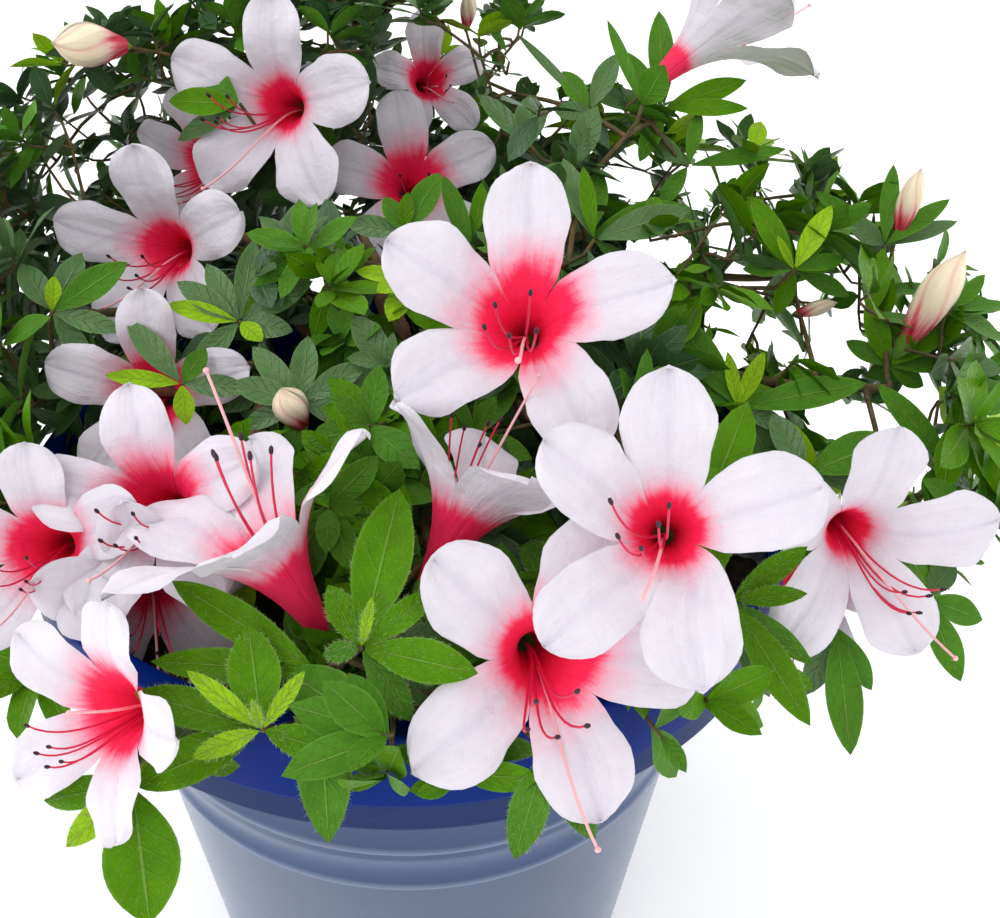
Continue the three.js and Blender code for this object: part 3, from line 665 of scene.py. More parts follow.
@dataclass(frozen=True)
class PotFinish:
    """Glossy moulded plastic: a deep blue collar, a slate-grey band under it that is painted reflection of
    the pale floor, a paler wall, and raised rings lightened by a painted highlight.
    """

    collar: Screen = (0, 34, 112)
    # Painted reflection: the greyer blue of the band under the collar, whose rounded edge mirrors the pale
    # floor; also the wall's faint random mottle
    lip_sheen_and_mottle: Screen = (28, 46, 92)
    wall: Screen = (50, 76, 116)
    # Painted highlight on the raised rings; the same pale blue-grey also colours the scuffs, which are wear
    ring: Screen = (168, 182, 206)
    lip_top: float = 152.0
    collar_bottom: float = 143.0
    ring_heights: tuple[float, float] = (113.0, 97.2)
    cloud_scale: float = 30.0
    speck_scale: float = 2400.0
    scuff_scales: tuple[float, float] = (40.0, 400.0)
    gloss_roughness: float = 0.26
    relief: float = 0.0002

    def make(self) -> Material:
        """Build the material, by height up the pot.

        Returns:
            The material.
        """
        graph = Graph("pot_plastic")
        across, along = graph.leaf_points()
        where = graph.object_point()
        height = graph.split(where)[2] * (1 / MM)
        cloud = graph.noise(where, self.cloud_scale, 3.0)
        speck = graph.noise(where, self.speck_scale, 1.0)
        wide, long = self.scuff_scales
        scuff = graph.noise(graph.join(across * wide, along * long), 1.0, 3.0).step(0.66, 0.74)
        # The wall is faintly mottled at random toward the same greyer blue.
        low = graph.mix(cloud * 0.5, linear(*self.wall), linear(*self.lip_sheen_and_mottle))
        # Painted reflection: from the collar's foot up to the lip's top the pot turns the greyer blue.
        lip_sheen_mask = height.step(self.collar_bottom - 0.3, self.collar_bottom + 0.3)
        lip = graph.mix(lip_sheen_mask, low, linear(*self.lip_sheen_and_mottle))
        in_collar = height.step(self.lip_top - 0.4, self.lip_top + 0.4)
        body = graph.mix(in_collar, lip, linear(*self.collar))
        # Painted highlight: the wall is lightened along each raised ring.
        rings = [1.0 - abs(height - middle).step(0.5, 1.4) for middle in self.ring_heights]
        body = graph.mix((rings[0] + rings[1]) * 0.3, body, linear(*self.ring))
        # Scuffs: pale wear marks, in the rings' colour.
        graph.set(Base_Color=graph.mix(scuff * 0.06, body, linear(*self.ring)))
        graph.set(Roughness=0.3 + cloud * 0.14 + scuff * 0.2)
        gloss = (1.0 - height.step(self.collar_bottom - 1.0, self.collar_bottom)) * 0.9
        graph.set(Specular_IOR_Level=0.03, Coat_Weight=gloss, Coat_Roughness=self.gloss_roughness)
        graph.bump(cloud * 0.5 + speck * 0.15, self.relief)
        return graph.material


@dataclass(frozen=True)
class SoilFinish:
    """Dark damp peat, with paler fibres."""

    name: str
    scale: float
    wet: Screen = (34, 24, 18)
    dry: Screen = (74, 54, 40)
    fibre: Screen = (128, 100, 74)
    relief: float = 0.0015

    def make(self) -> Material:
        """Build the material.

        Returns:
            The material.
        """
        graph = Graph(self.name)
        where = graph.object_point()
        clod = graph.noise(where, self.scale, 5.0)
        fibre = graph.noise(where, self.scale * 6, 2.0)
        dark = graph.mix(clod.step(0.35, 0.7), linear(*self.wet), linear(*self.dry))
        graph.set(Base_Color=graph.mix(fibre.step(0.64, 0.74) * 0.5, dark, linear(*self.fibre)))
        graph.set(Roughness=0.88 + fibre * 0.1)
        graph.bump(clod + fibre * 0.3, self.relief)
        return graph.material


@dataclass(frozen=True)
class FloorFinish:
    """A plain pale studio floor."""

    colour: Colour = (0.97, 0.97, 0.975)
    glow: float = 0.22

    def make(self) -> Material:
        """Build the material.

        Returns:
            The material.
        """
        graph = Graph("studio_floor")
        graph.set(Base_Color=self.colour, Roughness=0.9, Specular_IOR_Level=0.1)
        graph.set(Emission_Color=(1.0, 1.0, 1.0), Emission_Strength=self.glow)
        return graph.material


# Meshes


class Stock:
    """Like pieces gathered into one mesh."""

    def __init__(self) -> None:
        """Start with nothing in it."""
        self.points: list[Points] = []
        self.uvs: list[Points] = []
        self.faces: list[tuple[int, ...]] = []
        self.count = 0

    def add(self, points: Points, uvs: Points, faces: Iterable[tuple[int, ...]]) -> None:
        """Add a piece.

        Args:
            points: Its points, in millimetres.
            uvs: Their place across and along the piece.
            faces: Its faces, by the numbers of its points.
        """
        start = self.count
        self.points.append(points)
        self.uvs.append(uvs)
        self.faces.extend([tuple(corner + start for corner in face) for face in faces])
        self.count += len(points)

    def triangles(self) -> int:
        """Return the number of triangles."""
        return sum(len(face) - 2 for face in self.faces)

    def build(self, name: str, material: Material, slot: str, *nodes: str) -> bpy.types.Object:
        """Make the object.

        Args:
            name: The piece's name.
            material: Its finish.
            slot: The record's slot that the finish stands for; not used.
            nodes: The solids that it replaces.

        Returns:
            The object.
        """
        points = np.concatenate(self.points) * MM
        mesh = bpy.data.meshes.new(name)
        mesh.from_pydata(points.tolist(), [], self.faces)
        corners = np.empty(len(mesh.loops), dtype=np.int32)
        mesh.loops.foreach_get("vertex_index", corners)
        layer = mesh.uv_layers.new(name="OFBake")
        layer.data.foreach_set("uv", np.concatenate(self.uvs)[corners].astype(np.float32).ravel())
        mesh.shade_smooth()
        mesh.materials.append(material)
        mesh.update()
        made = bpy.data.objects.new(name, mesh)
        bpy.context.scene.collection.objects.link(made)
        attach(made, "root")
        if nodes:
            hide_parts(*nodes)
        LOG.info("%s: %d triangles", name, self.triangles())
        return made


def grid_faces(rows: int, columns: int, ringed: bool = False) -> list[tuple[int, ...]]:
    """Return the faces of a grid of points.

    Args:
        rows: Points along.
        columns: Points across.
        ringed: Whether the last column joins the first.

    Returns:
        Four-cornered faces.
    """
    faces = []
    for row in range(rows - 1):
        for column in range(columns if ringed else columns - 1):
            near, far = row * columns, (row + 1) * columns
            after = (column + 1) % columns
            faces.append((near + column, near + after, far + after, far + column))
    return faces


def tube(stock: Stock, points: Points, radii: Sequence[float], sides: int, capped: bool = True) -> None:
    """Add a tube along points.

    Args:
        stock: What it is added to.
        points: The tube's middle line.
        radii: Its radius at each point.
        sides: Corners round it.
        capped: Whether its end is closed to a point.
    """
    ways = directions(points)
    first = unit(np.cross(ways[0], sideways(ways[0])))
    turns = turns_round(sides)
    rows = []
    for point, way, radius in zip(points, ways, radii):
        first = unit(first - way * float(first @ way))
        second = np.cross(way, first)
        rows.append(point + radius * (np.cos(turns)[:, None] * first + np.sin(turns)[:, None] * second))
    count = len(points)
    faces = grid_faces(count, sides, ringed=True)
    along = np.repeat(np.linspace(0, 1, count), sides)
    across = np.tile(np.arange(sides) / sides, count)
    made = np.concatenate(rows)
    uvs = np.stack([across, along], axis=1)
    if capped:
        made = np.vstack([made, points[-1] + ways[-1] * radii[-1] * 0.8])
        uvs = np.vstack([uvs, [0.5, 1.0]])
        last = (count - 1) * sides
        faces += [(last + side, last + (side + 1) % sides, count * sides) for side in range(sides)]
    stock.add(made, uvs, faces)


# Crown


@dataclass(frozen=True)
class Crown:
    """The crown's form: a low wide dome that is highest at the back left."""

    middle: tuple[float, float] = (-2.0, 34.0)
    reach_x: float = 166.0
    reach_y: float = 152.0
    level: float = 190.0
    drop: float = 48.0
    rim_radius: float = 100.0
    pot_height: float = 175.0
    soil_top: float = 157.0
    over_rim: float = 4.0
    left_lift: tuple[float, float, float, float] = (38.0, 0.5, 24.0, 92.0)
    right_lift: tuple[float, float, float, float] = (36.0, 0.2, 28.0, 52.0)
    over_soil: float = 8.0
    off_wall: float = 8.0
    off_rim: float = 6.0

    def lift(self, x: Any, y: Any) -> Any:
        """Work out how high the dome stands above its level.

        Args:
            x: Places across.
            y: Places back.

        Returns:
            A height for each, from a base, a slope, a least and a most on either side.
        """
        base, slope, least, most = self.left_lift
        left = np.clip(base + slope * y, least, most)
        base, slope, least, most = self.right_lift
        right = np.clip(base + slope * y, least, most)
        share = smooth(x, 10, 75)
        return left * (1 - share) + right * share

    def bulge(self, x: Any, y: Any) -> Any:
        """Return the dome's share of its full height at a place, and how far out the place is."""
        spread = np.hypot((x - self.middle[0]) / self.reach_x, (y - self.middle[1]) / self.reach_y)
        return np.sqrt(np.maximum(0, 1 - spread**4)), spread

    def depth(self, points: Points) -> Points:
        """Work out how far points lie inside the crown's skin.

        Args:
            points: Points in space.

        Returns:
            A depth for each; less than nothing is outside.
        """
        x, y, z = points[..., 0], points[..., 1], points[..., 2]
        bulge, spread = self.bulge(x, y)
        radial = np.hypot(x, y)
        roof = self.level + self.lift(x, y) * bulge
        hem = self.level - self.drop * bulge
        over_soil = radial < self.rim_radius - self.off_wall
        bottom = np.where(over_soil, self.soil_top + self.over_soil, self.pot_height + self.over_rim)
        floor = np.where(radial < self.rim_radius + self.off_rim, bottom, hem)
        return np.minimum(np.minimum(roof - z, z - floor), (1 - spread) * self.reach_y)

    def off_pot(self, points: Points) -> Points:
        """Find which points are clear of the pot's collar and of the soil.

        Args:
            points: Points in space.

        Returns:
            True for each that is clear.
        """
        radial = np.hypot(points[..., 0], points[..., 1])
        over_soil = radial < self.rim_radius - self.off_wall
        low = np.where(over_soil, self.soil_top + 3, self.pot_height + 0.6)
        return (radial > self.rim_radius + 3) | (points[..., 2] > low)

    def heart(self) -> Points:
        """Return the place that the crown grows away from."""
        return np.array([self.middle[0], self.middle[1], self.level - 25])

    def place(self, angle: float, out: float, rise: float) -> Points:
        """Find a place in the crown.

        Args:
            angle: Its compass angle in degrees.
            out: Its share of the crown's reach.
            rise: Its share of the dome's lift.

        Returns:
            The place.
        """
        x = self.middle[0] + out * self.reach_x * math.cos(math.radians(angle))
        y = self.middle[1] + out * self.reach_y * math.sin(math.radians(angle))
        return np.array([x, y, self.level + rise * float(self.lift(x, y))])


CROWN = Crown()


@dataclass
class Limb:
    """One tapering limb."""

    name: str
    bend: Bend
    start: float
    end: float

    def tip(self) -> Points:
        """Return the limb's last point."""
        return self.bend.points[-1]

    def arrive(self) -> Points:
        """Return the limb's direction at its last point."""
        return self.bend.tangents()[-1]

    def radii(self) -> Points:
        """Return the limb's radius at each of its points."""
        return np.linspace(self.start, self.end, len(self.bend.points))


@dataclass
class Mass:
    """One mass of foliage on its own stem."""

    name: str
    middle: Points
    stem: Limb | None = None


@dataclass
class LimbTree:
    """The trunk, its boughs and leader, their branches and each mass's stem, as in the solids."""

    foot: Spot = (4.0, 3.0, 157.0)
    fork: Spot = (-3.0, 12.0, 186.0)
    trunk_foot: float = 8.2
    trunk_fork: float = 6.2
    flare: float = 12.0
    bough_count: int = 5
    bough_out: float = 0.3
    bough_rise: float = 0.14
    first_angle: float = -63.0
    leader_tip: Spot = (-12.0, 36.0, 212.0)
    branch_out: float = 0.51
    branch_rise: float = 0.06
    swing: float = 20.0
    gap: float = 0.3
    rings: tuple[tuple[str, int, float, float, float], ...] = (
        ("skirt", 10, 0.8, 0.02, -81.0),
        ("shoulder", 5, 0.5, 0.46, -63.0),
    )
    crest_places: tuple[Spot, ...] = (
        (-32.0, 0.2, 0.6),
        (45.0, 0.4, 0.62),
        (119.0, 0.45, 0.42),
        (190.0, 0.2, 0.62),
    )
    trunk_lean: Spot = (-0.25, 0.25, 1.0)
    bough_ends: tuple[float, float] = (3.7, 2.8)
    leader_ends: tuple[float, float] = (4.0, 3.2)
    branch_ends: tuple[float, float] = (2.0, 1.7)
    stem_ends: tuple[float, float] = (1.6, 1.2)
    branch_raise: Spot = (-0.3, -0.3, 1.2)
    spare_angle: float = 11.0
    steepest: float = 80.0
    push: float = 0.04
    rounds: int = 200
    limb_steps: int = 14
    trunk_steps: int = 20
    limbs: list[Limb] = field(default_factory=list)
    masses: list[Mass] = field(default_factory=list)

    def spread(
        self,
        tip: Points,
        targets: list[Points],
        radius: float,
        child: float,
        along: Points,
        raised: Sequence[float],
    ) -> list[Points]:
        """Spread the directions in which several limbs leave one tip.

        Args:
            tip: Where they leave.
            targets: Where each goes.
            radius: The parent's radius there.
            child: The children's radius.
            along: The parent's direction there.
            raised: How much each is turned up.

        Returns:
            A direction for each target.
        """
        apart = 2 * math.atan(child / (radius + self.gap)) + math.radians(self.spare_angle)
        leave = [unit(unit(target - tip) + UP * up) for target, up in zip(targets, raised)]

        def angle(one: Points, other: Points) -> float:
            """Return the angle between two directions."""
            return math.acos(clamp(float(one @ other), -1, 1))

        for _ in range(self.rounds):
            for first in range(len(leave)):
                for second in range(first + 1, len(leave)):
                    if angle(leave[first], leave[second]) < apart:
                        push = (leave[first] - leave[second]) * self.push
                        leave[first] = unit(leave[first] + push)
                        leave[second] = unit(leave[second] - push)
                if angle(leave[first], along) > math.radians(self.steepest):
                    leave[first] = unit(leave[first] + along * self.push)
        return leave

    def grow_limb(
        self, name: str, parent: Limb, leave: Points, end: Points, ends: tuple[float, float]
    ) -> Limb:
        """Grow one limb from its parent's tip to a point.

        Args:
            name: The limb's name.
            parent: The limb that it grows from.
            leave: The direction in which it leaves.
            end: Where it ends.
            ends: Its radii at its start and end.

        Returns:
            The limb.
        """
        start = parent.tip() + leave * (parent.end + self.gap)
        arrive = unit(unit(end - start) * 0.88 + UP * 0.12)
        return Limb(name, Bend.between(start, leave, end, arrive, self.limb_steps), *ends)

    def place_masses(self) -> list[list[Mass]]:
        """Place the masses.

        Returns:
            Those of the skirt, of the shoulder and of the crest.
        """
        rings = []
        for ring, count, out, rise, first in self.rings:
            places = [CROWN.place(first + 360 / count * index, out, rise) for index in range(count)]
            rings.append([Mass(f"foliage_{ring}_{index + 1}", place) for index, place in enumerate(places)])
        places = [CROWN.place(*place) for place in self.crest_places]
        rings.append([Mass(f"foliage_crest_{index + 1}", place) for index, place in enumerate(places)])
        self.masses = [mass for ring in rings for mass in ring]
        return rings

    def grow(self) -> None:
        """Grow every limb, and a stem for every mass."""
        skirt, shoulders, crests = self.place_masses()
        foot, fork = np.array(self.foot), np.array(self.fork)
        arrive = unit(np.array(self.trunk_lean))
        line = Bend.between(foot, UP, fork, arrive, self.trunk_steps)
        trunk = Limb("trunk", line, self.trunk_foot, self.trunk_fork)
        angles = [self.first_angle + 360 / self.bough_count * index for index in range(self.bough_count)]
        ends = [CROWN.place(angle, self.bough_out, self.bough_rise) for angle in angles]
        ends.append(np.array(self.leader_tip))
        level = [0.0] * len(ends)
        ways = self.spread(fork, ends, self.trunk_fork, self.bough_ends[0], arrive, level)
        names = [f"bough_{index + 1}" for index in range(self.bough_count)] + ["leader"]
        sizes = [self.bough_ends] * self.bough_count + [self.leader_ends]
        boughs = [
            self.grow_limb(name, trunk, way, end, size)
            for name, way, end, size in zip(names, ways, ends, sizes)
        ]
        branches = []
        for bough, angle, shoulder in zip(boughs, angles, shoulders):
            targets = [
                CROWN.place(angle + side * self.swing, self.branch_out, self.branch_rise) for side in (-1, 1)
            ]
            targets.append(shoulder.middle)
            width = self.branch_ends[0]
            ways = self.spread(bough.tip(), targets, bough.end, width, bough.arrive(), self.branch_raise)
            for end, way in zip(targets[:2], ways):
                name = f"branch_{len(branches) + 1}"
                branches.append(self.grow_limb(name, bough, way, end, self.branch_ends))
            shoulder.stem = self.grow_limb(shoulder.name, bough, ways[2], shoulder.middle, self.stem_ends)
        leader = boughs[-1]
        middles = [mass.middle for mass in crests]
        level = [0.0] * len(crests)
        ways = self.spread(leader.tip(), middles, leader.end, self.stem_ends[0], leader.arrive(), level)
        for mass, way in zip(crests, ways):
            mass.stem = self.grow_limb(mass.name, leader, way, mass.middle, self.stem_ends)
        for mass in skirt:
            branch = min(branches, key=lambda other: float(np.linalg.norm(other.tip() - mass.middle)))
            mass.stem = self.grow_limb(mass.name, branch, branch.arrive(), mass.middle, self.stem_ends)
        self.limbs = [trunk, *boughs, *branches]


@dataclass
class Wood:
    """Trunk, boughs and branches with their bark's relief, and the twigs."""

    tree: LimbTree
    limb_sides: int = 18
    twig_sides: int = 6
    overlap: float = 1.2
    ridge: float = 0.055
    first_seed: int = 40
    old_bark: BarkFinish = BarkFinish("bark_old", (92, 66, 46), (120, 84, 56))
    young_bark: BarkFinish = BarkFinish("bark_young", (72, 66, 34), (106, 84, 48))
    limbs: Stock = field(default_factory=Stock)
    twigs: Stock = field(default_factory=Stock)

    def relief(self, points: Points, radii: Points, seed: int) -> Points:
        """Make radii uneven by knots and slow swellings along a limb.

        Args:
            points: The limb's middle line.
            radii: Its even radii.
            seed: What the swellings are drawn from.

        Returns:
            The uneven radii.
        """
        random = Random(seed)
        waves = [
            (random.uniform(0.06, 0.5), random.uniform(0, ROUND), random.uniform(0.01, 0.05))
            for _ in range(6)
        ]
        run = runs(points)
        swell = sum(size * np.sin(run * pace + turn) for pace, turn, size in waves)
        return radii * (1 + swell)

    def add_limb(self, limb: Limb, seed: int) -> None:
        """Add one limb, begun a little inside its parent so that the two join.

        Args:
            limb: The limb.
            seed: What its relief is drawn from.
        """
        points = limb.bend.points
        radii = limb.radii()
        if limb.name == "trunk":
            share = np.linspace(0, 1, len(points))
            radii = radii + (self.tree.flare - self.tree.trunk_foot) * (1 - share) ** 5
        else:
            root = points[0] - limb.bend.tangents()[0] * (limb.start * self.overlap)
            points = np.vstack([root, points])
            radii = np.concatenate([[limb.start], radii])
        places = np.arange(len(points))
        fine = np.linspace(0, len(points) - 1, (len(points) - 1) * 3 + 1)
        line = np.stack([np.interp(fine, places, points[:, axis]) for axis in range(3)], axis=1)
        sizes = self.relief(line, np.interp(fine, places, radii), seed)
        start = len(self.limbs.points)
        tube(self.limbs, line, sizes, self.limb_sides)
        self.roughen(start, line, seed)

    def roughen(self, index: int, line: Points, seed: int) -> None:
        """Raise ridges of bark on the tube just added.

        Args:
            index: Which of the stock's pieces it is.
            line: The tube's middle line.
            seed: What the ridges are drawn from.
        """
        points = self.limbs.points[index]
        random = np.random.default_rng(seed)
        rings = len(line)
        heights = random.normal(size=(rings // 3 + 3, self.limb_sides))
        rows = np.linspace(0, rings // 3 + 2, rings)
        low = np.floor(rows).astype(int).clip(0, rings // 3 + 1)
        share = (rows - low)[:, None]
        ridges = heights[low] * (1 - share) + heights[low + 1] * share
        for ring in range(rings):
            own = slice(ring * self.limb_sides, (ring + 1) * self.limb_sides)
            out = points[own] - line[ring]
            points[own] = line[ring] + out * (1 + self.ridge * ridges[ring][:, None])

    def build(self) -> None:
        """Make the two pieces."""
        for index, limb in enumerate(self.tree.limbs):
            self.add_limb(limb, self.first_seed + index)
        names = [limb.name for limb in self.tree.limbs]
        self.limbs.build("trunk_and_boughs", self.old_bark.make(), "bark", *names)
        self.twigs.build("twigs", self.young_bark.make(), "foliage")


# Flowers


@dataclass(frozen=True)
class Shown:
    """What the photograph shows at a picture point: how far off it is, and the way it faces."""

    across: float
    down: float
    away: float
    turn: float
    tip: float

    def stand(self) -> tuple[Points, Points]:
        """Return where it stands and the way it faces."""
        at = EYE.seen(self.across, self.down, self.away)
        return at, EYE.facing(at, self.turn, self.tip)


@dataclass(frozen=True)
class ShownFlower(Shown):
    """A flower that the photograph shows, with its size and its form.

    Lift is how far its lobes rise, in degrees. Lean is how far the stamens' tips lie to the right of
    the axis and above it, in radii, and style is the same for the pistil. A pale one has less red.
    Swing turns each lobe, from the upper one round to the left, in degrees.
    """

    spin: float = 0.0
    size: float = 1.0
    lift: float = 11.0
    lean: tuple[float, float] = (0.0, -0.12)
    style: tuple[float, float] = (0.06, -0.5)
    pale: float = 0.0
    swing: tuple[float, ...] = (0.0,) * 5


RULE_FORM = ShownFlower(0, 0, 0, 0, 0, lean=(0.0, -0.15), style=(0.05, -0.5))

SHOWN_FLOWERS = (
    ShownFlower(522, 319, 227, -4, 13, 2, 1.04, lean=(0.0, -0.1), swing=(0, -9, -15, -3, -6)),
    ShownFlower(668, 532, 201, 2, 2, 4, 0.98, 11, (-0.18, 0.06), (-0.15, -0.4), 0.1, (0, -17, -6, -20, 0)),
    ShownFlower(551, 662, 213, 14, -9, -25, 1.06, lean=(-0.13, -0.16), style=(0.1, -1.0)),
    ShownFlower(468, 503, 232, 70, 62, 50, 0.95, 34, (0.1, 0.2), (-0.2, 0.2), 0.05, (8, 0, 30, 34, 14)),
    ShownFlower(
        262, 542, 222, -54, 58, 110, 1.1, 29, (-0.1, 0.2), (-0.2, 0.2), 0.05, (5, -12, -10, -22, -25)
    ),
    ShownFlower(150, 508, 240, -24, 4, 12, 0.92, 14),
    ShownFlower(108, 716, 209, -50, 0, 0, 0.8, 18, style=(0.5, 0.45)),
    ShownFlower(42, 550, 240, -24, 0, 5, 0.83, 16),
    ShownFlower(150, 592, 246, -8, -32, 0, 0.86),
    ShownFlower(152, 394, 284, -15, 5, 0, 0.87, 16),
    ShownFlower(160, 250, 325, -30, 2, 10, 1.04, 15, pale=0.1),
    ShownFlower(202, 168, 362, -55, -8, 0, 0.9, 20),
    ShownFlower(274, 106, 333, -22, 2, 0, 1.12, 14, (-0.35, -0.02), (-0.3, -0.7), 0.12),
    ShownFlower(412, 184, 362, 5, 12, 5, 0.98),
    ShownFlower(430, 80, 396, 15, 10, 0, 0.75),
    ShownFlower(714, 30, 335, 116, 42, 0, 1.12, 30, pale=0.42),
    ShownFlower(862, 544, 254, 26, -14, -8, 1.0, 14, (0.3, -0.25), (0.35, -0.5), 0.2),
    ShownFlower(806, 590, 296, 0, -30, 0, 0.85),
)


@dataclass
class Flower:
    """One open flower: its place, with the axis out of the throat, and its form in its radii."""

    place: Place
    radius: float
    shown: ShownFlower | None
    lift: float = 11.0
    tube: float = 0.78
    throat: tuple[float, float] = (0.12, -0.25)
    foot_radius: float = 0.065
    mouth: float = 0.3
    cleft: float = 0.35
    wide_at: float = 0.65
    half_width: float = 0.29
    hook: float = 0.06
    wave: float = 0.036
    fold: float = 0.006
    rows: int = 22
    columns: int = 9

    def form(self) -> ShownFlower:
        """Return the form that the photograph shows, or else the rule's."""
        return self.shown or RULE_FORM

    def foot(self) -> Points:
        """Return where the tube meets its stalk."""
        return self.place.middle - self.place.axis * self.radius * self.tube

    def profile(self, share: Points, reach: float) -> tuple[Points, Points]:
        """Shape the corolla's section from its foot to a lobe's tip.

        Args:
            share: Shares of the way from the foot.
            reach: The lobe's length beside the others'.

        Returns:
            Radii and heights, in flower radii.
        """
        lift = math.radians(self.lift)
        free = reach - self.mouth
        level, raised = math.cos(lift), math.sin(lift)
        radii = (self.foot_radius, self.throat[0], 0.2 + 0.04 * level, self.mouth + free * level)
        heights = (-self.tube, self.throat[1], 0.25 * raised, free * raised * 1.15)
        return cubic(share, radii), cubic(share, heights) - self.hook * smooth(share, 0.8, 1.05)

    def surface(self, out: Points) -> Points:
        """Return the height of the corolla at a distance from the axis, in millimetres."""
        radii, heights = self.profile(np.linspace(0, 1, 24), 1.0)
        return np.interp(out / self.radius, radii, heights) * self.radius

    def lobe(self, index: int, random: Random) -> tuple[Points, Points]:
        """Shape one lobe with its fifth of the tube.

        Args:
            index: Which lobe.
            random: What its small differences are drawn from.

        Returns:
            Points in the flower's frame, and their places across and along.
        """
        form = self.form()
        half_fifth = math.radians(36)
        half_rows = self.rows // 3
        ends = np.sin(np.linspace(0, 0.5, self.rows - half_rows) * math.pi)
        along = np.concatenate([np.linspace(0, 0.5, half_rows + 1)[:-1], 0.5 + 0.5 * ends])
        across = np.linspace(-1, 1, self.columns)[None, :]
        out, rise = self.profile(along, random.uniform(0.95, 1.05))
        out, rise = out[:, None], rise[:, None]
        tip = float(out[-1, 0])
        wide = self.wide_at * tip
        notch = self.cleft * math.sin(half_fifth)
        before = np.clip((out - self.cleft) / (wide - self.cleft), 0, 1)
        beyond = np.clip((out - wide) / (tip - wide), 0, 1)
        phase = random.uniform(0, ROUND)
        fullest = self.half_width * random.uniform(0.95, 1.08)
        half = notch + (fullest - notch) * np.sin(before * math.pi / 2)
        half = half * (1 - beyond**2.2) ** 0.5 * (1 + 0.03 * before * np.sin(out * 19 + phase))
        angle = half_fifth * across
        share = smooth(out, self.cleft, self.cleft + 0.16)
        x = out * np.cos(angle) * (1 - share) + out * share
        y = out * np.sin(angle) * (1 - share) + half * across * share
        x = x + random.uniform(-0.03, 0.05) * smooth(out, 0.75 * tip, tip) * (1 - np.abs(across))
        wave = self.wave * np.sin(out * 13 + phase + across * 1.5) * across**2 * np.sqrt(np.abs(across))
        crease = 0.09 * np.abs(across) ** 1.2 - 0.075 * across**4
        folds = self.fold * np.cos(across * 7) * smooth(out, 0.3, 0.5) * (1 - beyond)
        z = rise + share * (wave + crease + folds)
        z = z + math.tan(math.radians(random.uniform(-6, 7))) * np.clip(x - self.cleft, 0, None)
        y = y + share * 0.06 * random.uniform(-1, 1) * np.clip(x - 0.4, 0, None)
        turn = 2 * math.pi * index / 5 + 0.05 * random.uniform(-1, 1) * share
        turn = turn + math.radians(form.swing[index]) * smooth(out, 0.15, 0.6)
        cosine, sine = np.cos(turn), np.sin(turn)
        spun = np.stack([x * cosine - y * sine, x * sine + y * cosine, z], axis=-1)
        u = ((index + 2) % 5 + 0.5 + 0.48 * np.tile(across, (self.rows, 1))) / 5
        v = np.clip(along + form.pale * smooth(along, 0.0, 0.4), 0, 1)
        v = np.tile(v[:, None], (1, self.columns))
        return spun.reshape(-1, 3) * self.radius, np.stack([u.ravel(), v.ravel()], axis=1)


@dataclass(frozen=True)
class ShownBud(Shown):
    """A bud that the photograph shows: from its foot, with its length, opening and stoutness."""

    length: float
    opening: float
    stout: float


SHOWN_BUDS = (
    ShownBud(898, 232, 330, 30, 76, 19, 0.2, 0.8),
    ShownBud(902, 348, 316, 50, 66, 31, 0.9, 0.8),
    ShownBud(124, 46, 318, -56, 4, 22, 0.9, 1.25),
    ShownBud(302, 427, 262, -30, 50, 12, 0.6, 1.55),
    ShownBud(796, 314, 322, 74, 24, 12, 0.3, 0.8),
    ShownBud(466, 28, 372, 20, 70, 12, 0.4, 1.0),
)


